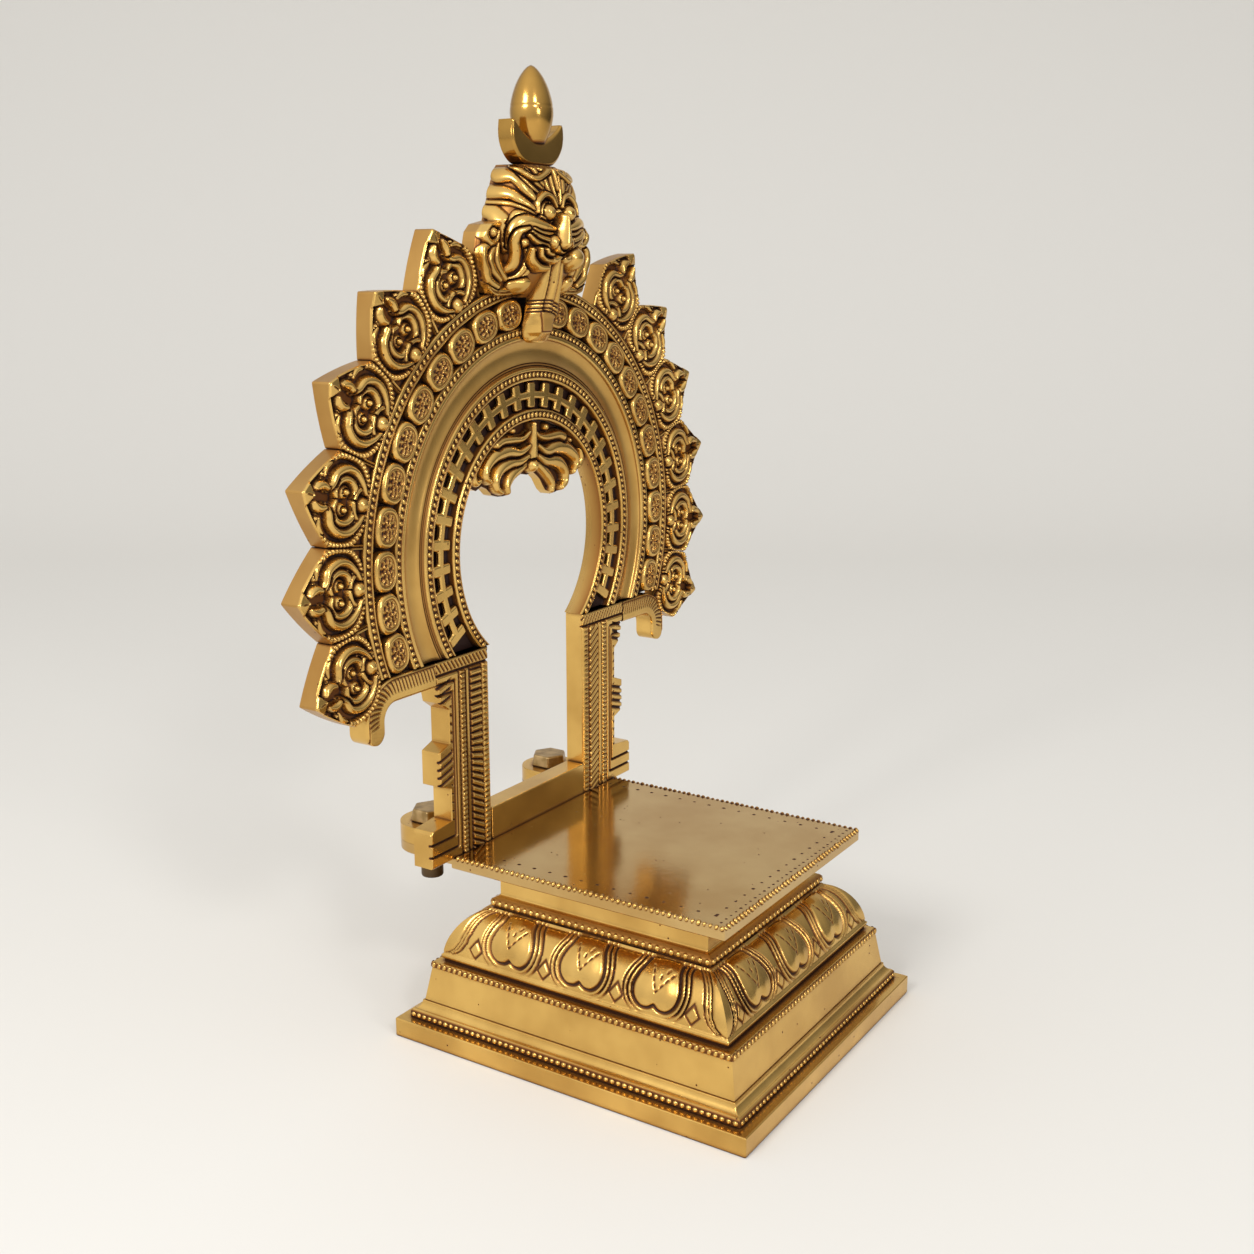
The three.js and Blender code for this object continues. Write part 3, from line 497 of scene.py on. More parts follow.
def petal_relief(u, s, pitch):
    """Height and tarnish of the petals on one side, at u along the side and s up the swelling."""
    middle = np.clip(np.round(u / pitch), -1, 1) * pitch
    x = u - middle
    side = pitch / FLANK_PITCH
    heart = curve_through([(0, 4.4), (2.2, 3.0), (5.2, 3.1), (7.9, 5.6), (8.9, 9.4), (8.0, 13.6),
                           (6.6, 17.5), (5.8, 23.5)]) * (side, 1)
    away = reach_to(np.abs(x), s, heart)[0]
    lobe = heart[2 * CURVE_STEPS:]
    edge = np.interp(s, lobe[:, 1], lobe[:, 0])
    within = (np.abs(x) < edge) & (s > 3.1 + 1.4 * np.exp(-(x / 1.6) ** 2))
    away = np.where(within, -away, away)
    height = 0.5 * smooth(0.1, -1.3, away) + 0.35 * smooth(-0.5, -5.5, away)
    tarnish = 0.95 * smooth(0.78, 0.34, np.abs(away + 0.05))
    height += groove(away, 0.8, 0.7)
    # Two parallel ribs run down beside the heart and die away under it
    fade = smooth(3.2, 5.6, np.abs(x)) * (0.25 + 0.75 * smooth(1.2, 4.5, s))
    for rib in (1.05, 2.75):
        height += ridge(away - rib, 0.62, 0.42) * fade
        height += groove(away - rib - 0.88, 0.45, 0.5) * fade
        tarnish = np.maximum(tarnish, 0.95 * fade * smooth(0.54, 0.22, np.abs(away - rib - 0.88)))
    # Punched strokes in the shape of a V, each broken into dashes
    for stroke in ([(-3.4, 17.4), (-2.0, 13.2), (-0.4, 9.0)],
                   [(5.0, 16.0), (2.4, 12.4), (-0.2, 8.8)],
                   [(0.6, 14.4), (0.5, 13.2)], [(2.6, 16.8), (1.9, 15.6)]):
        gap, run = reach_to(x, s, np.array(stroke, float))
        dash = 0.35 + 0.65 * (np.sin(run * 22 + stroke[0][0]) > -0.35)
        height += groove(gap, 0.4, 0.3) * dash
        tarnish = np.maximum(tarnish, 0.9 * smooth(0.44, 0.2, gap) * dash)
    # Small kite-shaped buds between the petals
    k = np.abs(np.abs(x) - pitch / 2)
    kite = np.abs(k / (2.7 * side)) + np.where(s > 4.6, (s - 4.6) / 4.0, (4.6 - s) / 3.0)
    kite = (kite - 1) * 2.0
    cut = smooth(0.56, 0.18, np.abs(kite)) * (s > 0.6)
    height = np.where(kite < 0, 0.22 * smooth(0, -1, kite), height)
    height -= 0.34 * cut
    tarnish = np.where(kite < 0.45, 0.85 * cut, tarnish)
    return height, tarnish


def corner_leaf(c, s, height, tarnish):
    """Lays the long corner leaf over the petals, c being the distance from the mitre line."""
    outline = np.interp(s, [0.6, 1.6, 3.2, 6.0, 10.0, 15.0, 19.0, 23.0],
                        [0.0, 2.4, 4.1, 5.0, 4.3, 2.5, 1.5, 1.0])
    beyond = c - outline
    for rib in (0.0, 1.35, 2.6):
        near = beyond - rib
        level = ridge(near + 0.62, 0.62, 0.3) if rib else 0.34 * smooth(0.0, -1.0, near)
        line = smooth(0.48, 0.16, np.abs(near)) * smooth(0.4, 1.4, s)
        covered = beyond < rib
        band = covered & (beyond >= rib - 1.3) if rib else covered
        height = np.where(band, level, height) - 0.36 * line * (band | ~covered)
        tarnish = np.maximum(np.where(band, 0, tarnish), 0.85 * line)
    return height, tarnish


PETAL_RELIEF = 0.85      # how far the carving's ground lies under the plain swelling


def side_relief(half, pitch):
    """The petals' height and tarnish on a side of that half length, for the swelling's rows."""
    s = np.linspace(0, swell_length, SWELL_ROWS)[:, None] * np.ones(PETAL_CUTS)
    u = half * (np.arange(PETAL_CUTS) / PETAL_CUTS * 2 - 1)
    relief = corner_leaf(half - np.abs(u), s, *petal_relief(u, s, pitch))
    return np.array(relief) * (smooth(0.2, 1.4, s)
                               * smooth(swell_length, swell_length - 0.8, s))


front_relief = side_relief(half_width - swell[:, :1], FRONT_PITCH)
flank_relief = side_relief(half_depth - swell[:, :1] * DEPTH_INSET, FLANK_PITCH)
petals, petal_tarnish = np.concatenate([front_relief, flank_relief] * 2, axis=2)
lotus_section = np.vstack([under, swell, inside])
carved = slice(len(under), len(under) + SWELL_ROWS)
lotus_push = np.zeros((len(lotus_section), 4 * PETAL_CUTS))
lotus_push[carved] = petals - PETAL_RELIEF
lotus_push[carved][:4] *= np.linspace(0, 1, 4)[:, None]
lotus_push[carved][-3:] *= np.linspace(1, 0, 3)[:, None]
lotus_kept = np.zeros_like(lotus_push)
lotus_kept[:2] = 0.9
lotus_kept[carved] = petal_tarnish
make_piece("lotus_carving", *tier(lotus_section, PETAL_CUTS, lotus_push), cast_brass, "pedestal",
           ["lotus_course"], tarnish=lotus_kept, crisp=60)

# --- Neck moulding
# A narrow neck under the seat: a row of beads at its foot, a sloped step, and a plain wall that
# spreads into a fillet. It stays in shade under the seat, and is browned a little behind its beads.

NECK_INSET = 25.3
NECK_SET, BEAD_ROW, NECK_STEP, NECK_FILLET = 0.7, 2.2, 4.6, 1.8
seat_low, seat_high = box_mm("seat_plate")
seat_foot = seat_low[2]
neck_section = [(lotus_in + NECK_SET, lotus_top), (lotus_in + NECK_SET, lotus_top + LIP),
                (lotus_in, lotus_top + 2 * LIP), (lotus_in, lotus_top + LIP + BEAD_ROW),
                (lotus_in + LIP, lotus_top + 2 * LIP + BEAD_ROW),
                (NECK_INSET - LIP, lotus_top + NECK_STEP - LIP),
                (NECK_INSET, lotus_top + NECK_STEP), (NECK_INSET, seat_foot - 2 * NECK_FILLET),
                (NECK_INSET - LIP, seat_foot - NECK_FILLET), (NECK_INSET - LIP, seat_foot),
                (NECK_INSET + CAST_WALL, seat_foot), (NECK_INSET + CAST_WALL, lotus_top)]
behind_neck_beads = slice(1, 5)
moulding("neck_casting", "neck_moulding", neck_section, behind_neck_beads, 0.4)
row_of("neck_beads", *side_paths(lotus_in + 0.3, lotus_top + 2.0),
       pitch=2.62, piece=bead, size=(2.5, 2.5, 2.1), body="pedestal")

# --- Seat plate
# A flat plate that carries the deity, filed level and polished until it mirrors the arch, with an
# ear behind each leg. Punched dots run along three of its edges and a file has nicked its rim.

# Its pale tan is partly the brass's own colour and partly painted reflection of what the polished
# seat mirrors
mirror_brass_painted_reflection = brass("mirror-polished cast brass, tinted as painted reflection", bright="#CFAE74", deep="#C19C60",
                     stain="#8A5620", tarnish="#2A1206", roughness=0.14, crevice=0.8,
                     waviness=0.05)


def dressed(node, name, material, body, edge=0.0, slot="brass"):
    """A CAD solid with its corners merged and its edges worn, under its own finish."""
    shape = bmesh.new()
    shape.from_mesh(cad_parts[node].data)
    bmesh.ops.remove_doubles(shape, verts=shape.verts, dist=0.005 * MM)
    bmesh.ops.dissolve_limit(shape, angle_limit=math.radians(1), verts=shape.verts,
                             edges=shape.edges)
    shape.verts.index_update()
    points = [v.co / MM for v in shape.verts]
    faces = [[v.index for v in face.verts] for face in shape.faces]
    shape.free()
    return make_piece(name, points, faces, material, body, [node], slot, edge=edge)


dressed("seat_plate", "seat_casting", mirror_brass_painted_reflection, "pedestal", edge=0.3)
seat_side, seat_top, seat_front = seat_high[0], seat_high[2], seat_low[1]
(_, arch_front, _), (_, arch_back, _) = box_mm("crossbar")
punch = pattern_piece("punch mark", [1.0, 0.8, 0.56, 0.2], [0.0, 0.3, 0.1, 0.08],
                      [0.9, 0.6, 1.0, 1.0])
DOT_INSET = 7.1
side_end = arch_front - 3.0


def across_seat(end_inset, front_inset, level):
    """A path across the seat, parallel to its front edge."""
    return [(x * (seat_side - end_inset), seat_front + front_inset, level) for x in (-1, 1)]


def along_seat(side_inset, front_inset, end, level):
    """A path up each side of the seat, from the front to its end."""
    return [[(x * (seat_side - side_inset), y, level) for y in (seat_front + front_inset, end)]
            for x in (-1, 1)]


for name, paths, pitch, size in (
        ("side_dots", along_seat(DOT_INSET, DOT_INSET, side_end, seat_top), 6.4, (1.7, 1.5, 0.4)),
        ("front_dots", [across_seat(3.5, 3.2, seat_top)], 3.2, (1.3, 1.2, 0.4)),
        ("front_line_dots", [across_seat(8, DOT_INSET, seat_top)], 5.8, (1.6, 1.4, 0.4))):
    row_of(name, paths, [(0, 0, 1)] * len(paths), pitch, punch, size, "pedestal",
           metal=mirror_brass_painted_reflection, uneven=0.3)
nick_z = seat_top - 0.3
row_of("edge_nicks", along_seat(0.35, 1, side_end + 2, nick_z) + [across_seat(1, 0.35, nick_z)],
       [(-1, 0, 1), (1, 0, 1), (0, -1, 1)], pitch=2.1, piece=bead, size=(1.8, 2.3, 1.9),
       body="pedestal", uneven=0.3)

# --- Arch ring
# The horseshoe of the arch, one casting with rims, hollows and channels turned round its centre.
# Its rims are chased with slanted beads, and its channels are left dark.

ring_low, ring_high = box_mm("arch_ring")
ring_outer = ring_high[0]
ring_z = ring_high[2] - ring_outer
ring_cut = ring_low[2] - ring_z
# The opening's radius, and the widths of the bands outwards from it
OPENING, INNER_RIM, FRET, MIDDLE_RIM, COVE = 42.6, 3.8, 9.9, 4.5, 9.6
BEADED_RIM, CHANNEL, EDGE_RIM = 4.5, 10.2, 4.5
fret_edge, middle_edge, cove_edge, beaded_edge, channel_edge, outer_edge = np.cumsum(
    [OPENING, INNER_RIM, FRET, MIDDLE_RIM, COVE, BEADED_RIM, CHANNEL])[1:]
channel_middle = outer_edge - CHANNEL / 2
FRET_FLOOR, CHANNEL_FLOOR = 3.2, 2.8      # how deep the two channels are
COVE_TARNISH = 0.15
BEAD_GROOVE, GROOVE_DEPTH = 1.15, 0.45      # half the width of a rim's groove, and its depth
RING_STEPS = 220


def rim_profile(start, width, bead_at):
    """The front of a rim as (radius, depth, tarnish): rounded edges and a groove for its beads."""
    end = start + width
    return [(start, 0.8, 0.5), (start + 0.1, 0.35, 0), (start + 0.35, 0.08, 0), (start + 0.7, 0, 0),
            (bead_at - BEAD_GROOVE - 0.12, 0, 0), (bead_at - BEAD_GROOVE, 0.1, 0.5),
            (bead_at - BEAD_GROOVE + 0.25, GROOVE_DEPTH, 0.9),
            (bead_at + BEAD_GROOVE - 0.25, GROOVE_DEPTH, 0.9),
            (bead_at + BEAD_GROOVE, 0.1, 0.5), (bead_at + BEAD_GROOVE + 0.12, 0, 0),
            (end - 0.7, 0, 0), (end - 0.35, 0.08, 0), (end - 0.1, 0.35, 0), (end, 0.8, 0.5)]


def channel_profile(start, width, floor):
    """The floor of a channel as (radius, depth, tarnish), brown all over."""
    return [(start, floor - 0.3, 1), (start + 0.3, floor, 1),
            (start + width - 0.3, floor, 1), (start + width, floor - 0.3, 1)]


rim_beads = [OPENING + 1.95, middle_edge + 2.1, beaded_edge + 2.9, outer_edge + 2.2]
# Two fine lines are cut beside the wide hollow, whose floor is tarnished a little
profile = (rim_profile(OPENING, INNER_RIM, rim_beads[0])
           + channel_profile(fret_edge, FRET, FRET_FLOOR)
           + rim_profile(middle_edge, MIDDLE_RIM, rim_beads[1]))
for line in (0.35, 1.25):
    profile += [(cove_edge + line, 1.1, 0.4), (cove_edge + line + 0.22, 1.55, 1),
                (cove_edge + line + 0.44, 1.1, 0.4)]
for step in np.linspace(0, 1, 14):
    profile.append((cove_edge + 1.9 + (COVE - 2.1) * step, 1.15 + 1.1 * 4 * step * (1 - step),
                    COVE_TARNISH))
profile += (rim_profile(beaded_edge, BEADED_RIM, rim_beads[2])
            + channel_profile(channel_edge, CHANNEL, CHANNEL_FLOOR)
            + rim_profile(outer_edge, EDGE_RIM, rim_beads[3]))
thickness = arch_back - arch_front
profile += [(ring_outer, thickness - 0.4, 0), (ring_outer - 0.4, thickness, 0),
            (OPENING + 0.4, thickness, 0), (OPENING, thickness - 0.4, 0)]


def turned(profile, steps):
    """A profile turned round the arch's centre and cut off level at its foot."""
    radius, depth, kept = np.array(profile, float).T
    angle = np.arccos(ring_cut / radius)[:, None] * np.linspace(-1, 1, steps)
    x = radius[:, None] * np.sin(angle)
    z = ring_z + radius[:, None] * np.cos(angle)
    y = np.broadcast_to(arch_front + depth[:, None], x.shape)
    index = np.arange(x.size).reshape(x.shape)
    faces = [*quads(index, wrap_rows=True), index[:, 0], index[::-1, -1]]
    return (np.stack([x, y, z], axis=-1).reshape(-1, 3), faces,
            np.broadcast_to(kept[:, None], x.shape))


points, faces, kept = turned(profile, RING_STEPS)
make_piece("ring_casting", points, faces, cast_brass, "arch", ["arch_ring"], tarnish=kept,
           crisp=50)


def groove_path(radius):
    """An arc along a rim's groove, from a millimetre inside one end to the same at the other."""
    limit = math.acos(ring_cut / radius) - 1.0 / radius
    angle = np.linspace(-limit, limit, 90)
    return np.stack([radius * np.sin(angle), np.full(angle.shape, arch_front + GROOVE_DEPTH),
                     ring_z + radius * np.cos(angle)], axis=1)


row_of("rim_beads", [groove_path(radius) for radius in rim_beads],
       [(0, -1, 0)] * len(rim_beads), pitch=2.3, piece=bead, size=(2.0, 2.7, 1.8), body="arch",
       slant=math.radians(-32), uneven=0.2)

# --- Fret band
# A cast openwork of linked crosses, dropped into the ring's inner channel and standing bright over
# its dark floor.

dressed("fret_band", "fret_casting", cast_brass, "arch", edge=0.95, slot="fret_brass")

# --- Medallions
# Oval studs in the outer channel, eleven to a side: a smooth bright shoulder round a flat top that
# a ring punch and a dot punch have made into a rosette.

MEDALLIONS = 11
MEDALLION_PITCH = math.radians(9.85)
STUD_HALF = channel_middle * MEDALLION_PITCH / 2 - 0.15
STUD_HALF_HEIGHT = CHANNEL / 2 + 0.15
STUD_FULLNESS = 2.4      # an ellipse would be 2, and more is squarer
STUD_ROUND = 56      # points round a stud
SIDES = {"left": -1, "right": 1}


def stud():
    """One stud's grid: its places as shares of its half sizes, its height and its tarnish."""
    share = [0.98, 1.0, 0.99, 0.95, 0.89, 0.82, 0.75, 0.70, *np.linspace(0.66, 0.06, 11)]
    height = [-CHANNEL_FLOOR, -0.9, -0.2, 0.4, 0.82, 1.02, 1.0, 0.68, *[0.6] * 11]
    kept = [1, 0.4, 0, 0, 0, 0, 0, 0.7, *[0.1] * 11]
    around = 2 * math.pi * np.arange(STUD_ROUND) / STUD_ROUND
    grid_share, grid_height, grid_kept = (
        np.array(values)[:, None] * np.ones(STUD_ROUND) for values in (share, height, kept))
    full = (np.abs(np.cos(around)) ** STUD_FULLNESS
            + np.abs(np.sin(around)) ** STUD_FULLNESS) ** (-1 / STUD_FULLNESS)
    u, v = grid_share * full * np.cos(around), grid_share * full * np.sin(around)
    top = grid_share < 0.68      # inside the shoulder
    # A dot in the middle, five round it and nine round those, each inside a raised ring
    dots = [(0.0, 0.0)]
    dots += [(0.28 * math.cos(a), 0.3 * math.sin(a)) for a in (0.2, 1.3, 2.5, 3.6, 4.9)]
    dots += [(0.52 * math.cos(a), 0.5 * math.sin(a)) for a in np.arange(9) * 0.7 + 0.1]
    for a, b in dots:
        away = np.hypot(u - a, v - b)
        dip = smooth(0.15, 0.07, away) * top
        grid_height -= 0.5 * dip
        grid_kept = np.maximum(grid_kept, dip)
        grid_height += 0.25 * smooth(0.07, 0.0, np.abs(away - 0.17)) * top
    return u, v, grid_height, grid_kept


stud_u, stud_v, stud_height, stud_kept = stud()
stud_index = np.arange(stud_u.size).reshape(stud_u.shape)
stud_faces = [*quads(stud_index, wrap_columns=True), stud_index[0][::-1], stud_index[-1]]
points, faces, kept, stood_for = [], [], [], []
for side, sign in SIDES.items():
    for i in range(1, MEDALLIONS + 1):
        angle = sign * i * MEDALLION_PITCH
        out = np.array([math.sin(angle), 0, math.cos(angle)])
        along = np.array([math.cos(angle), 0, -math.sin(angle)])
        place = channel_middle * out + (0, arch_front, ring_z)
        grid = (place + (stud_u * STUD_HALF)[..., None] * along
                + (stud_v * STUD_HALF_HEIGHT)[..., None] * out
                + stud_height[..., None] * np.array([0, -1, 0]))
        faces += [len(points) * stud_u.size + face for face in stud_faces]
        points.append(grid.reshape(-1, 3))
        kept.append(stud_kept.ravel())
        stood_for.append(f"medallion_{side}_{i}")
make_piece("medallion_studs", np.vstack(points), faces, cast_brass, "arch", stood_for,
           tarnish=np.concatenate(kept), crisp=70)

# --- Flames
# The border of the arch: six flames to a side, cast and then chased into coiled strands round a
# ball, inside a beaded rope. Tarnish fills the ground behind the strands.

FLAME_HEIGHT = 28.8
FLAME_SHOULDER = 16.0      # how far up a flame keeps its width
FLAME_PITCH = {"left": math.radians(16.1), "right": math.radians(15.2)}
FIRST_FLAME = {"left": math.radians(26.6), "right": math.radians(32.5)}
FLAMES = 6


def carve(u, v, strands, ground):
    """The height of strands over a sunken ground, each laid over those before it.

    A strand has its points, its widths from one end to the other and how high it stands over the
    face, and may go on with the pitch of its beads and how many ridges it has.
    """
    height = np.full(u.shape, float(ground))
    for points, widths, rise, *rest in strands:
        beads, ridges = [*rest, *(0, 1)[len(rest):]]
        path = curve_through(points) if len(points) > 1 else np.array(points * 2, float)
        room = max(widths) / 2 + 0.3
        low, high = path.min(axis=0) - room, path.max(axis=0) + room
        near = (u > low[0]) & (u < high[0]) & (v > low[1]) & (v < high[1])
        if not near.any():
            continue
        away, share = reach_to(u[near], v[near], path)
        half = np.interp(share, np.linspace(0, 1, len(widths)), widths) / 2
        top = np.clip(1 - (away / half) ** 2, 0, None) ** 0.5
        # Chased lines part a strand's ridges, and dips its beads
        if ridges > 1:
            top *= 1 - 0.34 * np.cos(away / half * math.pi * ridges / 2) ** 8 * (away < half)
        if beads:
            run = share * travelled(path)[-1]
            top *= 0.55 + 0.45 * np.abs(np.sin(run * math.pi / beads)) ** 0.7
        # A thin dark line parts a strand from what it crosses
        there = height[near]
        outside = smooth(half * 0.98, half * 1.22, away)
        parted = np.minimum(there, ground + (rise - ground) * outside
                            + (there - ground) * outside)
        raised = ground + (rise - ground) * top
        height[near] = np.where(away < half, raised, parted)
    return height


def mirrored(strands):
    """The same strands on the other side of the middle line as well."""
    return strands + [([(-x, z) for x, z in strand[0]], *strand[1:]) for strand in strands]


def grounded(height, ground, bright, ground_tone=0.6):
    """How brown a carved face is: dark in its narrow hollows, brown on its ground, clean above."""
    mean = height
    for _ in range(7):
        for axis in (0, 1):
            mean = (np.roll(mean, 1, axis) + 2 * mean + np.roll(mean, -1, axis)) / 4
    return np.maximum(smooth(0.04, 0.42, mean - height),
                      ground_tone * (1 - smooth(ground + 0.12, ground + bright, height)))


def carved_plate(name, x, z, front, back, replaced, tarnish, crisp=60, material=cast_brass,
                 painted_wall_shade=0.0):
    """A closed plate on the arch with a carved front, on grids with rows up and columns right.

    back is one depth, or a grid where the back leans with the front, and painted_wall_shade is how
    brown the sides and the back are painted, as painted shade.
    """
    index = np.arange(x.size).reshape(x.shape)
    loop = np.concatenate([index[0, :-1], index[:-1, -1], index[-1, :0:-1], index[:0:-1, 0]])
    wall = np.vstack([loop, x.size + np.arange(2 * len(loop)).reshape(2, -1)])
    faces = [*quads(index), *quads(wall, wrap_columns=True)[:, ::-1], wall[2][::-1]]
    face = np.stack([x, front, z], axis=-1).reshape(-1, 3)
    behind, edge = face[loop].copy(), face[loop].copy()
    behind[:, 1] = np.broadcast_to(back, x.shape).ravel()[loop]
    edge[:, 1] += 0.08 * (behind[:, 1] - edge[:, 1])      # the walls stay clean behind the chasing
    # The sides and the back take the painted wall shade, a brown that stands for shade
    kept = np.concatenate([np.ravel(tarnish), np.full(2 * len(loop), painted_wall_shade)])
    return make_piece(name, np.vstack([face, edge, behind]), faces, material, "arch", replaced,
                      tarnish=kept, crisp=crisp)


flame_strands = mirrored([
    ([(2.4, 0.8), (8.0, 1.7), (12.2, 5.4), (13.5, 11.0), (12.8, 15.9), (9.6, 19.0), (6.6, 21.2)],
     (1.8, 2.3, 2.5, 2.5, 2.4, 1.8), 1.25, 1.5),
    ([(10.6, 18.0), (8.9, 19.6), (6.4, 20.3)], (1.4, 2.2, 1.6), 0.8),
    ([(7.6, 13.4), (7.7, 9.8), (6.2, 6.2), (4.4, 4.8)], (1.2, 1.9, 2.0, 1.2), 1.1),
    ([(0.4, 14.8), (3.2, 15.4), (6.2, 13.2), (6.5, 9.6), (4.6, 7.0), (1.8, 7.2)],
     (1.8, 2.7, 3.0, 2.9, 2.7, 1.8), 1.6),
    ([(2.7, 11.0)], (4.6,), 1.3),
    ([(2.7, 11.0)], (2.4,), 2.2),
    ([(4.2, 0.7), (4.9, 3.4), (3.2, 5.8), (0, 6.8)], (1.4, 2.2, 2.2, 2.2), 1.3),
    ([(4.2, 21.0), (2.6, 18.9), (4.2, 16.8), (7.8, 15.2), (9.7, 11.4), (9.1, 7.4), (6.4, 4.2),
      (3.0, 2.2)], (3.2, 2.6, 3.0, 3.3, 3.4, 3.2, 2.4, 1.4), 1.8),
    ([(2.0, 24.0), (3.0, 22.4), (3.4, 20.8), (2.9, 19.2)], (1.8, 3.4, 3.6, 2.6), 2.1),
]) + [
    ([(0, 2.6)], (5.4,), 2.4),
]
FLAME_GROUND = -1.0
FLAME_ROWS, FLAME_COLUMNS = 92, 89
BLADE_FOOT = 23.4      # where the small blade of the tip starts


def flame_face(pitch):
    """One flame, root down: its places across and up, and its carved height."""
    half = pitch / 2 - 0.3 / (ring_outer + FLAME_SHOULDER)
    t = np.linspace(0, 1, FLAME_ROWS)[:, None]
    s = np.linspace(-1, 1, FLAME_COLUMNS)[None, :]
    rise = FLAME_HEIGHT * t
    turn = np.clip((rise - FLAME_SHOULDER) / (FLAME_HEIGHT - FLAME_SHOULDER), 0, 1)
    spread = half * (1 - turn) + 0.002
    radius = ring_outer + 0.3 + rise * (1 - 0.012)
    u = radius * np.sin(s * spread)
    v = radius * np.cos(s * spread) - ring_outer
    height = carve(u, v, flame_strands, FLAME_GROUND)
    # The small blade of the tip, parted from the strands by a chased V
    climb = v - 0.7 * np.abs(u) - BLADE_FOOT
    over = smooth(-0.2, 0.5, climb)
    height = height * (1 - over) + (1.5 - 0.2 * np.abs(u)) * over
    height -= 0.8 * smooth(0.5, 0.2, np.abs(climb))
    height -= 0.5 * smooth(0.35, 0.1, np.abs(u)) * smooth(24.2, 24.8, v) * smooth(27.2, 26.4, v)
    edge = np.minimum((1 - np.abs(s)) * spread * radius, FLAME_HEIGHT * (1 - t) * 0.7)
    height = np.maximum(height, 0.3 * smooth(0.9, 0.6, edge)
                        + FLAME_GROUND * smooth(0.6, 0.9, edge))
    height -= 0.5 * smooth(0.5, 0.0, edge)
    return u, v, height


for side, sign in SIDES.items():
    u, v, height = flame_face(FLAME_PITCH[side])
    kept = grounded(height, FLAME_GROUND, 1.1, 0.72)
    kept[:, [0, 1, -2, -1]] *= 0.3      # the edges are rubbed bright
    for i in range(FLAMES):
        angle = sign * (FIRST_FLAME[side] + i * FLAME_PITCH[side])
        out = ring_outer + v
        x = u * math.cos(angle) + out * math.sin(angle)
        z = ring_z - u * math.sin(angle) + out * math.cos(angle)
        node = f"flame_{side}_{i + 1}"
        # Their side walls are browned as painted shade, for the walls that the light misses
        carved_plate(f"{node}_chased", x, z, arch_front + 0.4 - height, box_mm(node)[1][1],
                     [node], kept, painted_wall_shade=0.3)

# --- Legs
# The two legs that carry the ring, cast flat and chased: a beaded edge, a band of slanted cuts,
# ribs that turn outwards at both ends, and stepped blocks down the outer side.

LEG_INNER, LEG_WIDTH, LEG_HEIGHT = 29.1, 21.9, 71.5
FOOT_REACH, KNEE_REACH, CAP_REACH = 32.8, 27.2, 27.9      # how wide it is at its blocks
LEG_ROWS, LEG_COLUMNS, BLOCK_COLUMNS = 230, 68, 37
(_, _, leg_foot), (_, _, leg_top) = box_mm("pillar_right")


def off_beat(value, pitch):
    """How far a value lies from the nearest whole number of pitches."""
    return np.abs(value / pitch - np.round(value / pitch)) * pitch


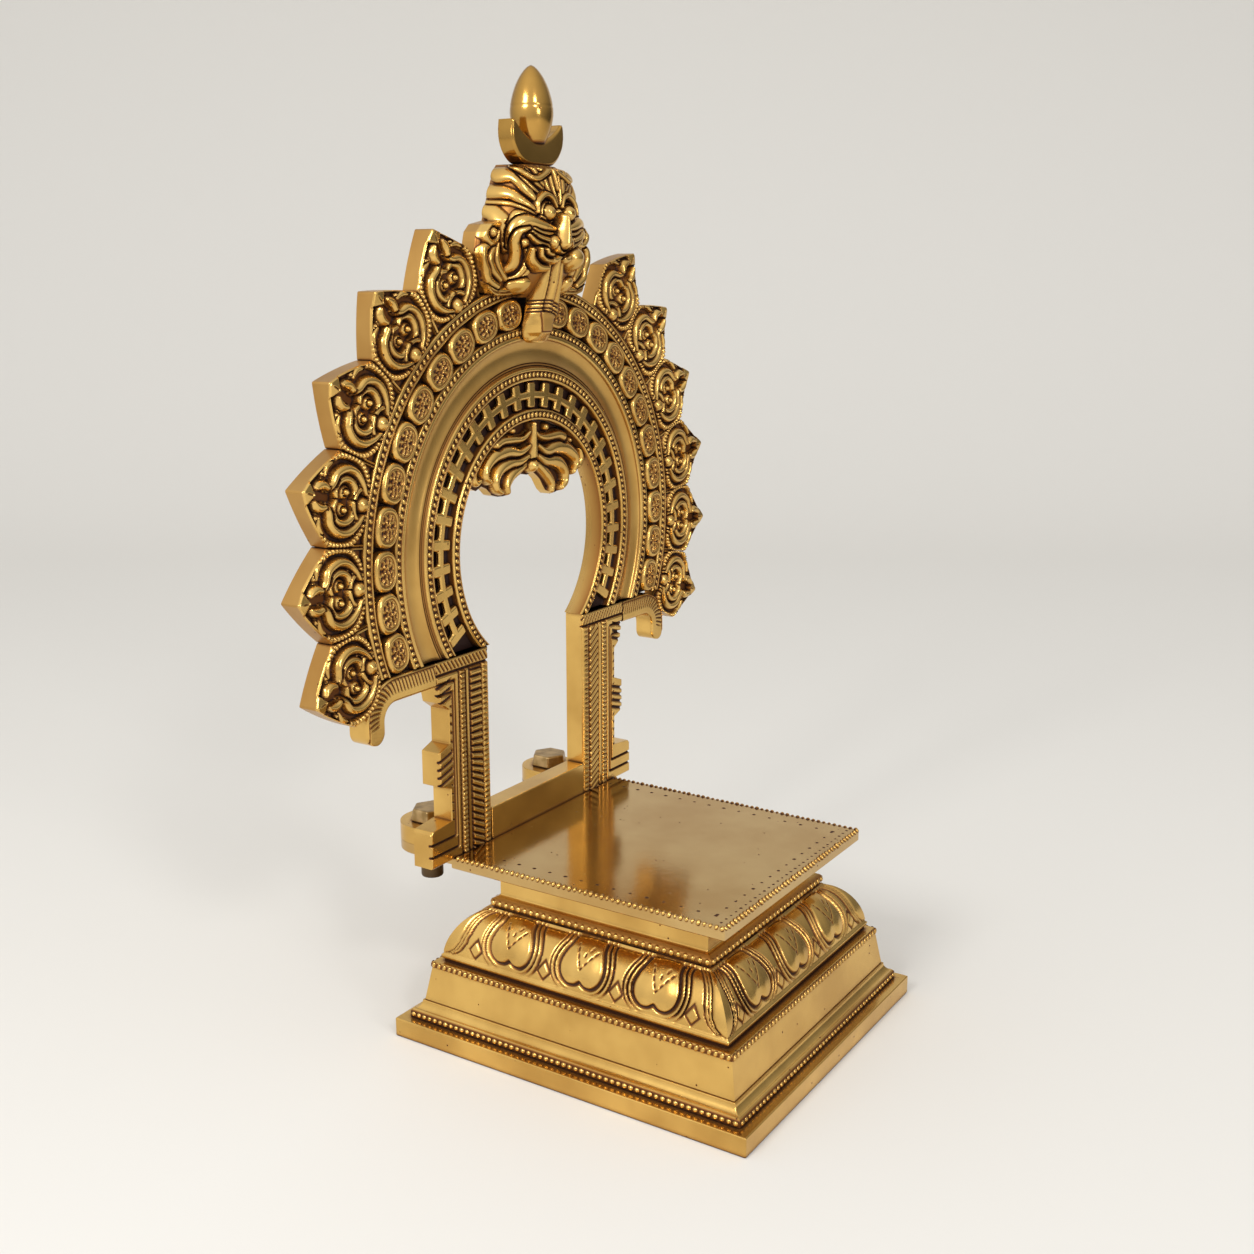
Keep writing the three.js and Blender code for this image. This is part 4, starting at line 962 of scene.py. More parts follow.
def leg_face(leans):
    """A leg's front: places out from its inner edge and up from its foot, height and tarnish.

    leans are the slopes of the band's cuts low down and high up.
    """
    foot, knee, knee_top, shoulder, cap = (
        LEG_HEIGHT * share for share in (0.185, 0.375, 0.57, 0.767, 0.93))
    # The outer edge steps out at the foot, the knee, the shoulder and the cap
    edge_z = [0, foot - 1, foot, foot + 1, knee - 1, knee + 1, knee_top - 1, knee_top + 1,
              shoulder - 1, shoulder + 2, cap, LEG_HEIGHT]
    edge_x = [FOOT_REACH, FOOT_REACH, FOOT_REACH - 1, LEG_WIDTH, LEG_WIDTH, KNEE_REACH,
              KNEE_REACH, LEG_WIDTH, LEG_WIDTH, CAP_REACH - 2, CAP_REACH, CAP_REACH]
    z = np.unique(np.concatenate([np.linspace(0, leg_top - leg_foot, LEG_ROWS),
                                  np.array(edge_z[1:-1]) - 0.03, np.array(edge_z[1:-1]) + 0.03]))
    outer = np.interp(z, edge_z, edge_x)[:, None]
    upright = LEG_WIDTH - 1.5      # beyond this the columns follow the steps
    inner_columns = np.linspace(0, upright, LEG_COLUMNS)[None, :] * np.ones_like(outer)
    blocks = upright + (outer - upright) * np.linspace(0, 1, BLOCK_COLUMNS)[None, 1:]
    u = np.hstack([inner_columns, blocks])
    v = np.broadcast_to(z[:, None], u.shape)
    height = np.zeros(u.shape)
    kept = np.zeros(u.shape)

    def cut(away, half, depth, mask=True):
        nonlocal height, kept
        line = smooth(half * 1.25, half * 0.5, away) * mask
        height = height - depth * line
        kept = np.maximum(kept, line)

    # Four lines up the leg part its edge, band and ribs
    body = smooth(cap + 0.2, cap - 0.2, v)
    for x, half in ((3.9, 0.46), (10.4, 0.5), (12.7, 0.36), (16.0, 0.46)):
        cut(np.abs(u - x), half, 0.9, body)
    # A band of slanted cuts, cut by eye: their lean changes on the way up
    lean = np.interp(v, [LEG_HEIGHT * 0.35, LEG_HEIGHT * 0.6], leans)
    slash = off_beat(v - (u - 7.2) * lean, 2.5)
    band = (u > 4.4) & (u < 10.1) & (v < cap - 0.6)
    cut(slash, 0.4, 0.7, band)
    height += 0.4 * smooth(0.2, 0.9, slash) * band
    for x, pitch in ((2.0, 1.9), (14.4, 1.75)):
        bead = np.abs(np.sin(math.pi * v / pitch)) ** 0.6
        strip = smooth(1.15, 0.9, np.abs(u - x)) * (v < cap - 0.5)
        height += strip * (0.85 * bead - 0.4)
        kept = np.maximum(kept, strip * smooth(0.6, 0.2, bead) * 0.9)
    # Two ribs run down and turn outwards into the cap and the foot block
    for offset in (0.0, 2.5):
        x, level = 18.2 + offset * 0.55, 4.0 + offset * 1.75
        turn = shoulder + 8.5 - offset * 1.5
        away = np.where((v > level) & (v < turn), np.abs(u - x), 99)
        for corner in (level, turn):
            away = np.minimum(away, np.where(u > x, np.abs(v - corner), 99))
        cut(away, 0.5, 0.8)
    for low, high, count in ((knee, knee_top, 4), (shoulder, cap, 3)):
        for i in range(1, count + 1):
            level = low + (high - low) * i / (count + 1)
            cut(np.abs(v - level + (u - 22) * 0.3), 0.62, 0.8, u > 20.2)
    # Short strokes up the narrow column between the blocks
    cut(off_beat(v - u * 0.4, 3.1), 0.34, 0.3,
        (u > 20.4) & (u < 21.5) & (v > foot + 1) & (v < shoulder))
    cut(np.abs(v - cap), 0.5, 0.9)
    cut(off_beat(u - (v - cap) * 0.7, 1.9), 0.36, 0.4, (v > cap + 0.9) & (v < LEG_HEIGHT - 1.0))
    edge = np.minimum.reduce([u, outer - u, v, leg_top - leg_foot - v])
    height -= 0.4 * smooth(0.45, 0.0, edge)
    return u, v, height, kept


LEANS = {"left": (0.5, 0.02), "right": (0.6, 0.7)}
for side, sign in SIDES.items():
    # Columns run from left to right on either side
    u, v, height, kept = (grid[:, ::sign] for grid in leg_face(LEANS[side]))
    carved_plate(f"leg_{side}", sign * (LEG_INNER + u), leg_foot + v, arch_front + 0.1 - height,
                 arch_back, [f"pillar_{side}"], kept)

# --- Crossbar and lugs
# A plain bar ties the feet of the legs over the seat, and a lug behind each foot takes its bolt.
# They are filed and polished like the pedestal.

dressed("crossbar", "foot_crossbar", cast_brass, "arch", edge=0.5)
for side in SIDES:
    dressed(f"arch_lug_{side}", f"bolt_lug_{side}", cast_brass, "arch", edge=0.5)

# --- Hooks
# The arms that carry the ends of the flame border: each runs out from the cap of its leg and turns
# down to a round tip, with fine cuts fanned across the bend.

HOOK_WIDTH, HOOK_DROP = 8.2, 2.6      # how wide it is, and how far it drops before its tip
HOOK_INNER = 5.7                      # the radius of the bend's inside
HOOK_STEP, HOOK_COLUMNS = 0.28, 31    # how far apart its rows are, and how many columns it has
TIP_LENGTH, TIP_ROWS = 3.5, 22        # its rows are closer round the tip
for side, sign in SIDES.items():
    hook_low, hook_high = box_mm(f"hook_bracket_{side}")
    start, reach = sorted((sign * hook_low[0], sign * hook_high[0]))
    top = hook_high[2]
    middle = HOOK_INNER + HOOK_WIDTH / 2
    turn_x, turn_z = reach - HOOK_INNER - HOOK_WIDTH, top - HOOK_INNER - HOOK_WIDTH
    arm, bend_length = turn_x - start, middle * math.pi / 2
    total = arm + bend_length + HOOK_DROP + HOOK_WIDTH / 2 - 0.02
    run = np.concatenate([np.arange(0, total - TIP_LENGTH, HOOK_STEP),
                          np.linspace(total - TIP_LENGTH, total, TIP_ROWS)])
    bent = np.clip((run - arm) / bend_length, 0, 1) * math.pi / 2
    down = np.clip(run - arm - bend_length, 0, None)
    centre_x = np.minimum(start + run, turn_x) + middle * np.sin(bent)
    centre_z = turn_z + middle * np.cos(bent) - down
    past = np.clip(down - HOOK_DROP, 0, None)
    half = np.sqrt(np.clip((HOOK_WIDTH / 2) ** 2 - past ** 2, 0.02, None))
    width = half[:, None] * np.linspace(1, -1, HOOK_COLUMNS)
    u = centre_x[:, None] + width * np.sin(bent)[:, None]
    v = centre_z[:, None] + width * np.cos(bent)[:, None]
    edge = half[:, None] - np.abs(width)
    height = -0.5 * smooth(0.6, 0.0, edge)
    line = off_beat(run[:, None] - width * 0.35, 1.55)
    hatch = smooth(0.36, 0.12, line) * smooth(-1.6, -0.6, width) * smooth(3.5, 2.9, width)
    hatch *= smooth(total - 4.5, total - 6.5, run)[:, None]
    height -= 0.35 * hatch
    border = smooth(0.3, 0.1, np.abs(width - 3.2))
    height -= 0.3 * border
    kept = np.maximum(hatch, border * 0.8)
    # Rows go from the inside of the bend outwards, and columns from left to right
    u, v, height, kept = (grid[::sign, ::-1].T for grid in (u, v, height, kept))
    carved_plate(f"hook_{side}", sign * u, v, arch_front + 0.1 - height, arch_back,
                 [f"hook_bracket_{side}"], kept)

# --- Leaf pendant
# An acanthus spray cast in one piece with pierced edges, brazed under the top of the opening. Its
# leaves curl away from a central stem, and the ground between them is dark.

PENDANT_RADIUS = 42.3
PENDANT_REACH = 33.7
PENDANT_ROWS, PENDANT_COLUMNS = 82, 200
pendant_low, pendant_high = box_mm("leaf_pendant")
pendant_strands = mirrored([
    ([(30.6, 29.6), (32.0, 26.2), (30.4, 23.6), (28.2, 24.6)], (2.0, 3.2, 3.0, 2.0), 1.2),
    ([(2.0, 27.4), (6.4, 26.0), (10.6, 24.0), (13.2, 21.0), (13.0, 18.8)],
     (2.6, 4.4, 4.8, 4.2, 2.8), 1.2),
    ([(1.0, 30.8), (6.4, 28.8), (12.0, 28.8), (17.6, 27.2), (20.6, 24.0), (20.4, 20.8),
      (18.0, 19.2)], (1.6, 3.4, 4.6, 5.2, 4.8, 3.8, 2.6), 2.2),
    ([(1.0, 34.4), (7.0, 32.0), (14.0, 32.8), (21.0, 31.8), (25.8, 28.8), (27.0, 25.6),
      (24.8, 23.6)], (1.6, 3.4, 4.8, 5.6, 5.2, 4.0, 2.6), 2.6),
    ([(1.0, 38.8), (5.0, 36.6), (11.0, 36.6), (16.4, 36.6), (19.6, 35.6)],
     (1.8, 3.0, 3.6, 3.8, 4.0), 2.0),
    ([(9.8, 39.7)], (3.0,), 1.2),
    ([(24.8, 33.6)], (2.2,), 0.9),
]) + [([(0, 41.4), (0, 36), (0, 30.5), (0, 26.4)], (2.0, 3.0, 4.2, 5.2), 3.2),
      ([(0, 26.6)], (5.6,), 3.6)]
PENDANT_GROUND = -1.4
column = np.linspace(-PENDANT_REACH, PENDANT_REACH, PENDANT_COLUMNS)[None, :]
lower_x = [0, 3.5, 8, 11, 13.5, 17, 20, 23, 26, 29, 32, PENDANT_REACH]
lower_z = [23.2, 23.9, 22.2, 19.0, 17.2, 17.4, 18.2, 20.8, 22.0, 20.8, 22.0, 24.2]
lower = np.interp(np.abs(column), lower_x, lower_z)
upper = np.sqrt(PENDANT_RADIUS ** 2 - column ** 2)
share = np.linspace(0, 1, PENDANT_ROWS)[:, None]
u = np.broadcast_to(column, (PENDANT_ROWS, PENDANT_COLUMNS))
v = lower + (upper - lower) * share
# The right side droops a little lower than the left
droop = 2.4 * smooth(3, 12, u) * smooth(31, 22, u) * (1 - share) ** 0.7
height = carve(u, v, pendant_strands, PENDANT_GROUND)
v = v - droop
kept = grounded(height, PENDANT_GROUND, 1.6, 0.9)
carved_plate("acanthus_pendant", u, ring_z + v, pendant_low[1] + 2.7 - height,
             pendant_high[1], ["leaf_pendant"], kept)

# --- Kirtimukha mask
# The guardian face over the crown of the ring, modelled in wax, cast and chased: a boxy lion's head
# with locks swept back round its flanks, scrolled ears on the ring, and a long fluted tongue.

mask_back = arch_front + 6.0
crown_z = ring_z + ring_outer
# Up the head from the crown of the ring: its half width, and how far it stands before the arch
HEAD_LEVELS = [-5, -3, 0, 4, 8, 12, 16, 20, 24, 28, 32, 35, 36.5, 38]
HEAD_HALF_WIDTH = [14, 15.5, 17, 17.5, 18, 19, 20, 20, 18.6, 16.8, 15.2, 13.8, 13, 11.6]
HEAD_DEPTH = [2, 3.5, 5.5, 7.8, 8.8, 9.6, 9.6, 9.2, 8.8, 8.4, 7.6, 6.8, 6.2, 5.2]
BOXINESS = 3.4          # an ellipse would be 2
MASK_GROUND = 0.5


def head_plan(level, count):
    """One level of the head, from its left edge round the front to its right.

    Gives each point's distance round from the middle line, its place and the way it faces.
    """
    wide = np.interp(level, HEAD_LEVELS, HEAD_HALF_WIDTH)
    deep = np.interp(level, HEAD_LEVELS, HEAD_DEPTH) + mask_back - arch_front
    turn = np.linspace(-math.pi / 2, math.pi / 2, 601)
    x = wide * np.sign(np.sin(turn)) * np.abs(np.sin(turn)) ** (2 / BOXINESS)
    y = mask_back - deep * np.clip(np.cos(turn), 0, None) ** (2 / BOXINESS)
    outline = np.stack([x, y], axis=1)
    girth = travelled(outline)[-1]
    x, y = evenly(outline, count).T
    ahead_x, ahead_y = np.gradient(x), np.gradient(y)
    length = np.hypot(ahead_x, ahead_y)
    return np.linspace(0, girth, count) - girth / 2, x, y, ahead_y / length, -ahead_x / length


head_locks = mirrored([
    ([(27.0, 22.8), (24.3, 21.4), (22.4, 17.0), (20.8, 11.0)], (5.6, 8.4, 7.0, 3.6), 2.7),
    ([(10.3, 26.2), (12.5, 29.6), (13.8, 32.4), (15.8, 34.4), (20.6, 34.4)],
     (2.0, 3.8, 4.4, 5.2, 5.6), 2.7),
    ([(11.0, 23.4), (15.1, 26.4), (18.1, 28.6), (25.6, 29.2)], (1.8, 3.8, 4.8, 5.2), 2.5),
    ([(10.8, 21.9), (15.6, 24.2), (19.5, 25.4), (26.6, 25.8)], (1.2, 1.7, 1.9, 1.9), 1.8),
    ([(13.0, 21.7), (17.0, 22.0), (19.9, 18.8)], (1.2, 2.8, 1.8), 2.0),
    ([(3.4, 17.4), (10.3, 18.9), (14.3, 19.8), (17.3, 18.7), (19.3, 15.6), (19.6, 11.8)],
     (2.4, 3.8, 4.4, 4.6, 4.2, 2.6), 3.1),
    ([(3.4, 15.7), (9.0, 16.0), (12.6, 17.3)], (1.4, 1.8, 1.4), 2.9),
    ([(2.6, 13.4), (8.3, 13.9), (12.2, 15.2), (14.6, 17.0)], (2.2, 2.7, 2.5, 1.8), 3.4),
    ([(3.2, 11.0), (7.4, 11.8), (11.4, 13.0), (14.2, 15.2)], (1.6, 2.6, 2.4, 1.6), 3.0),
    ([(14.6, 11.6), (13.0, 7.4), (13.4, 3.4), (15.4, 0.8), (19.6, 0.2)],
     (2.0, 3.4, 4.4, 4.4, 3.0), 2.4, 0, 2),
    ([(15.4, 12.6)], (3.6,), 2.7),
    ([(14.4, 17.4), (17.2, 16.2), (18.3, 13), (17.4, 9), (17.6, 5.6), (19.8, 4.0), (22.6, 5.8),
      (23.6, 9.2)], (1.8, 3.2, 3.6, 3.8, 4.0, 3.8, 3.2, 2.0), 3.1),
    ([(8.0, 28.4), (11.0, 31.2), (12.8, 34.6), (13.4, 37.0)], (1.0, 2.0, 2.0, 1.6), 1.9),
    ([(5.8, 29.6), (9.0, 32.6), (10.8, 36.8)], (1.2, 2.2, 2.0), 2.1),
    ([(3.4, 29.2), (6.6, 32.6), (8.2, 36.8)], (1.2, 2.4, 2.2), 2.4),
    ([(1.8, 26.4), (4.2, 30.4), (5.4, 36.6)], (1.4, 2.6, 2.4), 2.7),
    ([(0.8, 25.6), (1.9, 30.2), (2.4, 36.6)], (1.2, 2.4, 2.2), 3.0),
    ([(10.6, 22.6), (9.8, 26.0), (6.4, 28.4), (3.2, 27.4), (1.6, 24.6)],
     (1.4, 2.3, 2.7, 2.3, 1.4), 3.4),
    ([(9.4, 21.4), (8.4, 24.4), (5.6, 25.6), (3.2, 24.4)], (1.2, 1.7, 1.7, 1.2), 3.0),
    ([(9.4, 21.2), (5.6, 19.9), (2.8, 21.0)], (1.2, 1.7, 1.2), 3.0),
    ([(5.7, 22.7)], (5.8,), 4.8),
    ([(13.4, 37.4), (9.6, 33.4), (5.0, 34.8), (0.6, 37.4)], (3.2, 2.4, 2.4, 3.0), 3.4),
    ([(12.6, -1.6), (15.6, -2.0)], (7.0, 6.2), 3.6),
    ([(0.0, 8.8), (3.2, 7.2), (6.6, 8.6), (9.6, 11.0)], (2.8, 3.4, 2.8, 1.6), 4.1),
    ([(3.9, 13.0)], (5.4,), 4.6),
]) + [
    ([(-9.8, 7.6)], (8.8,), 4.4),
    ([(-13.4, 10.6), (-12.8, 7.4), (-10.2, 5.0), (-6.6, 4.6)], (2.0, 3.4, 3.4, 2.6), 4.6),
    ([(-11.0, 10.8), (-10.4, 8.6), (-8.4, 7.2), (-6.0, 7.0)], (1.6, 2.2, 2.2, 1.8), 5.1),
    ([(-8.8, 10.6), (-8.0, 9.4), (-6.2, 9.0)], (1.6, 2.0, 1.8), 5.2),
    ([(9.6, 7.4)], (8.6,), 5.6),
    ([(0, 30.4), (0, 37.6)], (2.0, 3.4), 3.6),
    ([(0, 22.8)], (3.0,), 3.4),
    ([(0, 13.8), (0, 12.4)], (6.4, 7.6), 5.8),
    ([(0, 21.2), (0, 17), (0, 12.8)], (3.2, 4.6, 5.4), 6.6),
]
HEAD_ROWS, HEAD_COLUMNS = 215, 281
levels = np.linspace(HEAD_LEVELS[0], HEAD_LEVELS[-1], HEAD_ROWS)
round_head, head_x, head_y, face_x, face_y = (
    np.array(grid) for grid in zip(*(head_plan(level, HEAD_COLUMNS) for level in levels)))
head_v = np.broadcast_to(levels[:, None], head_x.shape)
relief = carve(round_head, head_v, head_locks, MASK_GROUND)
kept = grounded(relief, MASK_GROUND, 1.2, 0.45)
for sign in SIDES.values():
    pupil = smooth(0.6, 0.3, np.hypot(round_head - sign * 5.2, head_v - 22.9))
    relief -= 0.2 * pupil
    kept = np.maximum(kept, 0.6 * pupil)
kept[:, [0, -1]] = 0
rim = np.minimum(smooth(0, 1.4, HEAD_LEVELS[-1] - head_v), smooth(0, 1.4, head_v - levels[0]))
relief *= rim * smooth(0, 1.6, round_head[:, -1:] - np.abs(round_head))
points = np.stack([head_x + relief * face_x, head_y + relief * face_y, crown_z + head_v], axis=-1)
index = np.arange(head_x.size).reshape(head_x.shape)
faces = [*quads(index), index[0][::-1], index[-1], [*index[:, 0][::-1], *index[:, -1]]]
make_piece("mask_head", points.reshape(-1, 3), faces, cast_brass, "arch", ["kirtimukha_mask"],
           tarnish=kept, crisp=60)

ear_scrolls = [
    ([(28.4, -0.8), (25.2, -2.7), (20.4, -3.3), (14.4, -2.8)], (3.0, 4.0, 4.0, 3.0), 2.2, 0, 2),
    ([(22.0, 12.4), (22.4, 8.6), (21.0, 4.6), (18.0, 1.4)], (2.0, 3.2, 3.6, 2.6), 2.2),
    ([(24.6, 11.2), (26.2, 7.8), (24.9, 4.4), (21.4, 1.0)], (2.0, 3.3, 3.6, 2.4), 2.5),
    ([(25.8, 12.4), (29.2, 10.9), (29.9, 7.4), (28.2, 4.0), (27.2, 1.0), (23.0, -1.2)],
     (2.0, 3.3, 3.6, 3.6, 3.3, 2.6), 2.7),
    ([(19.5, 18.6), (24.6, 18.7), (28.2, 17.4), (28.9, 14.8), (26.4, 12.7), (23.5, 13.6),
      (22.5, 16.2)], (3.0, 3.4, 3.6, 3.4, 3.0, 2.4, 1.8), 2.9),
    ([(25.7, 16.0)], (3.9,), 3.9),
]
EAR_INNER, EAR_LOW, EAR_HIGH = 13, -4.8, 20
ear_v = np.linspace(EAR_LOW, EAR_HIGH, 120)[:, None]
ear_outer = np.interp(ear_v, [EAR_LOW, -3.4, -1, 1, 5, 9, 13, 16, 18.5, EAR_HIGH],
                      [22, 26.5, 28.6, 29.6, 30.9, 31.6, 31.0, 30.2, 27.5, 20])
ear_u = EAR_INNER + (ear_outer - EAR_INNER) * np.linspace(0, 1, 90)
ear_v = np.broadcast_to(ear_v, ear_u.shape)
relief = carve(ear_u, ear_v, ear_scrolls, MASK_GROUND)
kept = grounded(relief, MASK_GROUND, 1.0, 0.5)
edge = np.minimum.reduce([ear_outer - ear_u, ear_v - EAR_LOW, EAR_HIGH - ear_v])
relief = relief * smooth(0, 0.8, edge) - 0.8 * smooth(0.7, 0, edge)
for side, sign in SIDES.items():
    u, v, height, ear_kept = (grid[:, ::sign] for grid in (ear_u, ear_v, relief, kept))
    # Its side walls are browned as painted shade, like the flames' walls
    carved_plate(f"mask_ear_{side}", sign * u, crown_z + v, arch_front - 0.7 - height,
                 mask_back - 0.5, (), ear_kept, painted_wall_shade=0.3)

TONGUE_ROOT, TONGUE_TIP = 7.5, -20.3
TONGUE_BAND = -10.4      # fluted above it, and a smooth spoon below
rows = np.linspace(TONGUE_TIP, TONGUE_ROOT, 130)[:, None]
s = np.linspace(-1, 1, 73)[None, :]
width = np.interp(rows, [TONGUE_TIP, -20.1, -19.4, -18.2, -16.5, -14, -12, TONGUE_BAND, -8, 0,
                         TONGUE_ROOT],
                  [3.6, 5.0, 6.3, 7.2, 7.7, 7.8, 7.3, 6.9, 6.7, 5.8, 4.8])
u = s * width
v = rows + 0 * s
front = np.interp(rows, [TONGUE_TIP, -16, -12, -6, 0, TONGUE_ROOT],
                  [1.0, 2.4, 3.0, 4.4, 6.2, 7.6])
shoulder = 0.28 + 0.72 * np.clip(1 - np.abs(s) ** 2.3, 0, None) ** 0.5
band = smooth(TONGUE_BAND - 0.3, TONGUE_BAND + 0.3, v + 0.22 * u)
# Three flutes of unlike widths, with a row of stitches in the hollows between them
flutes = np.abs(np.sin(math.pi * np.interp(s, [-1, -0.5, 0.2, 1], [0, 1, 2, 3]))) ** 0.6
height = band * (2.6 * flutes - 1.6) * smooth(1.0, 0.75, np.abs(s))
kept = band * smooth(0.6, 0.2, flutes) * smooth(0.9, 0.75, np.abs(s))
stitch = np.abs(np.cos(math.pi * v / 1.6))
height += 0.6 * band * smooth(0.5, 0.9, stitch) * smooth(0.5, 0.2, flutes) * (np.abs(s) < 0.6)
# Four lines across its band
for level in (TONGUE_BAND, TONGUE_BAND + 1.1, TONGUE_BAND + 2.6, TONGUE_BAND + 3.7):
    line = smooth(0.42, 0.16, np.abs(v - level + 0.22 * u + 0.03 * u ** 2 - 0.4))
    height -= 0.5 * line
    kept = np.maximum(kept, line)
# The spoon falls away round a flat panel with a creased edge
panel = np.interp(v, [-18, -16.6, -12.4, -11], [0.6, 2.4, 3.0, 3.4])
spoon = 1 - band
beyond = np.maximum(np.abs(u + 1.5) - panel, -16.4 - v)
height += spoon * (1.2 - 0.85 * np.clip(beyond, 0, 3.4))
crease = smooth(0.4, 0.1, np.abs(beyond)) * spoon
height -= 0.25 * crease
kept = np.maximum(kept, 0.8 * crease)
# The flat panel of the spoon is painted a little darker: painted shade
kept = np.maximum(kept, 0.2 * spoon * (beyond < 0))
front_y = arch_front - 1.1 - (front + 2.6) * shoulder - height
back_y = np.minimum(arch_front - 0.9, arch_front + 0.3 - (front + 2.6) * 0.28)
carved_plate("mask_tongue", u, crown_z + v, front_y, back_y, (), kept)

# --- Crown
# A cup-shaped crescent over the mask, with a smooth bud standing in it: both cast, filed and
# polished plain, so that they shine against the carving.

# The crown's brass is painted darker than the rest: painted dark reflection of the room it mirrors
crown_brass_painted_dark = brass("polished brass darkened as painted reflection", bright="#C4984F", deep="#A67E3C",
                    stain="#865018", tarnish="#280F05", roughness=0.18, crevice=1.4)

moon_low, moon_high = box_mm("crescent")
moon_size = (moon_high[0], moon_high[2] - moon_low[2])      # half its width, and its height
# Its edges from the left horn to the middle, as shares of those
outer = evenly(curve_through([(-0.965, 0.99), (-0.99, 0.7), (-0.94, 0.45), (-0.8, 0.23),
                              (-0.58, 0.07), (-0.3, 0.01), (0, 0.01)], 10), 70)
inner = evenly(curve_through([(-0.86, 0.99), (-0.72, 0.86), (-0.56, 0.75), (-0.36, 0.65),
                              (-0.18, 0.59), (0, 0.57)], 10), 70)
outer, inner = (np.vstack([half, half[-2::-1] * (-1, 1)]) * moon_size for half in (outer, inner))
share = np.linspace(0, 1, 19)[:, None]
u, v = outer.T[:, None] + (inner - outer).T[:, None] * share
room = np.hypot(*(inner - outer).T)
edge = np.minimum(share, 1 - share) * room
edge = np.minimum(edge, np.minimum(np.arange(u.shape[1]), np.arange(u.shape[1])[::-1]) * 0.35)
carved_plate("crown_crescent", u, moon_low[2] + v, moon_low[1] + 0.7 * smooth(0.9, 0, edge),
             moon_high[1], ["crescent"], 0 * u, crisp=50, material=crown_brass_painted_dark)

bud_low, bud_high = box_mm("bud_finial")
bud_radius, _, bud_height = (bud_high - bud_low) * (0.5, 0.5, 1)
BUD_FOOT, BUD_BELLY = 0.58, 0.4
rise = np.linspace(0.0, 0.998, 60)
swelled = BUD_FOOT + (1 - BUD_FOOT) * np.sin(math.pi / 2 * np.clip(rise / BUD_BELLY, 0, 1))
drawn_up = (1 - np.clip((rise - BUD_BELLY) / (1 - BUD_BELLY), 0, 1) ** 1.7) ** 0.65
radii = bud_radius * swelled * drawn_up - 0.1 * (np.abs(rise - 0.47) < 0.012)
points, faces, kept = domed(radii, bud_low[2] + bud_height * rise, 56,
                            np.clip(1 - rise / 0.05, 0, 1))
make_piece("lotus_bud", np.array(points) + (bud_low + bud_high) / 2 * (1, 1, 0), faces,
           crown_brass_painted_dark, "arch", ["bud_finial"], tarnish=kept, crisp=80)

# --- Bolts
# Two old steel bolts with worn hexagon heads, dulled grey-brown, that pin the lugs to the ears of
# the seat. Their shanks show below it, browned dark there.

old_steel = brass("worn bolt steel with brassy wear", bright="#BFA070", deep="#94784C",
                  stain="#6A5230", tarnish="#2E2114", roughness=0.36, crevice=1.2, cloud=4.0,
                  waviness=0.3)
for side in SIDES:
    bolt = dressed(f"bolt_{side}", f"hex_bolt_{side}", old_steel, f"bolt_{side}", edge=0.7,
                   slot="bolt_brass").data
    # Each shank is browned dark below the seat
    brown(bolt, [0.8 * (point.co.z < (seat_foot - 1) * MM) for point in bolt.vertices])

# --- Stage
# A pale matt floor that sweeps up into a wall behind the throne, in a soft, plain studio: an even
# white room that is brighter towards its window, a weak key lamp and two small glints.

floor_paint = bpy.data.materials.new("pale matt floor")
floor_paint.use_nodes = True
floor_shader = floor_paint.node_tree.nodes["Principled BSDF"]
floor_shader.inputs["Base Color"].default_value = linear("#DAD7D1")
floor_shader.inputs["Roughness"].default_value = 0.9
CAMERA_TURN = math.radians(-57.33)      # the floor is square to the camera
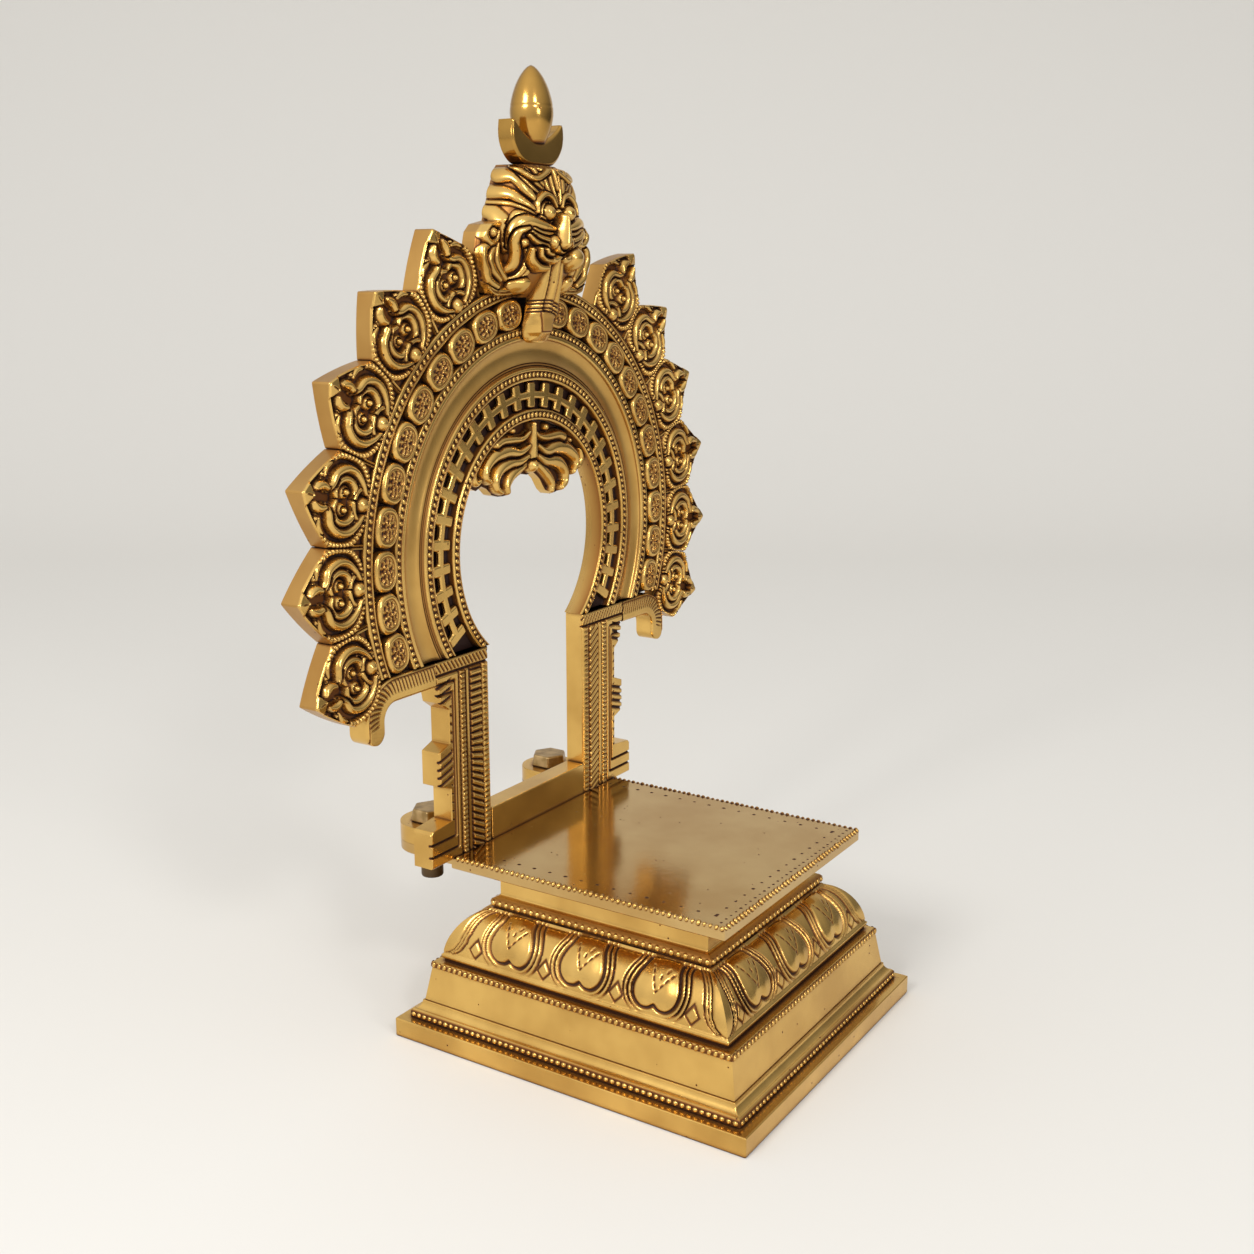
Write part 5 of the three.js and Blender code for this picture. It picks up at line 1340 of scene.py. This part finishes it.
# In metres: the floor's reach before and behind the throne, the radius of its bend, half its
# width and the wall's height
SWEEP_NEAR, SWEEP_FAR, SWEEP_BEND, SWEEP_HALF, SWEEP_TOP = 1.3, 0.9, 0.7, 1.5, 2.4
bend = np.linspace(0, math.pi / 2, 17)
run = np.concatenate([[-SWEEP_NEAR], SWEEP_FAR + SWEEP_BEND * np.sin(bend),
                      [SWEEP_FAR + SWEEP_BEND]])
lift = np.concatenate([[0], SWEEP_BEND * (1 - np.cos(bend)), [SWEEP_TOP]])
across = np.array([-SWEEP_HALF, SWEEP_HALF])[:, None]
x = across * math.cos(CAMERA_TURN) - run * math.sin(CAMERA_TURN)
y = across * math.sin(CAMERA_TURN) + run * math.cos(CAMERA_TURN)
sweep = bpy.data.meshes.new("floor")
sweep.from_pydata(np.stack([x, y, lift + 0 * x], axis=-1).reshape(-1, 3).tolist(), [],
                  quads(np.arange(x.size).reshape(x.shape))[:, ::-1].tolist())
sweep.materials.append(floor_paint)
sweep.shade_smooth()
placed("floor", sweep)

world = bpy.data.worlds.new("soft studio")
bpy.context.scene.world = world
world.use_nodes = True
sky = world.node_tree
sky.nodes.clear()
toward = add_node(sky, "ShaderNodeTexCoord").outputs["Generated"]
WINDOW_SIDE = (-0.66, 0.05, 0.75)       # the room is brightest high up on the left
lit = add_node(sky, "ShaderNodeVectorMath", {0: toward, 1: WINDOW_SIDE}, operation="DOT_PRODUCT")
level = add_node(sky, "ShaderNodeMapRange", {
    "Value": lit.outputs["Value"], "From Min": -0.6, "From Max": 1.0,
    "To Min": 0.14, "To Max": 1.15})
glow = add_node(sky, "ShaderNodeBackground", {"Color": linear("#FFFFFF"), "Strength": level})
add_node(sky, "ShaderNodeOutputWorld", {"Surface": glow})

# Square soft boxes: each one's place, the height over the origin that it faces, and its size, all
# in metres, and its power in watts
for name, place, height, size, power in (
        ("key", (-0.9, 0.05, 0.75), 0.12, 0.3, 5.4),
        ("glint", (-0.6, -0.9, 0.9), 0.15, 0.16, 3.0),
        ("front glint", (-0.35, -1.1, 0.42), 0.2, 0.22, 2.2)):
    lamp = bpy.data.lights.new(name, "AREA")
    lamp.size = size
    lamp.energy = power
    soft_box = placed(name, lamp)
    soft_box.location = place
    x, y, z = place
    soft_box.rotation_euler = (math.atan2(math.hypot(x, y), z - height), 0, math.atan2(x, -y))

# --- Camera
# At the photograph's viewing angle, solved from the throne's own straight edges: from the front
# left of it and above its middle, looking down by thirteen degrees.

camera_data = bpy.data.cameras.new("camera")
camera_data.sensor_width = 36.0
camera_data.lens = 42.43
camera = placed("camera", camera_data)
camera.location = (-0.42015, -0.26310, 0.26111)
camera.rotation_euler = (math.pi / 2 - math.radians(13.33), 0, CAMERA_TURN)
bpy.context.scene.camera = camera
bpy.context.scene.view_settings.view_transform = "Standard"

for pattern in (bead, punch):
    bpy.data.objects.remove(pattern)
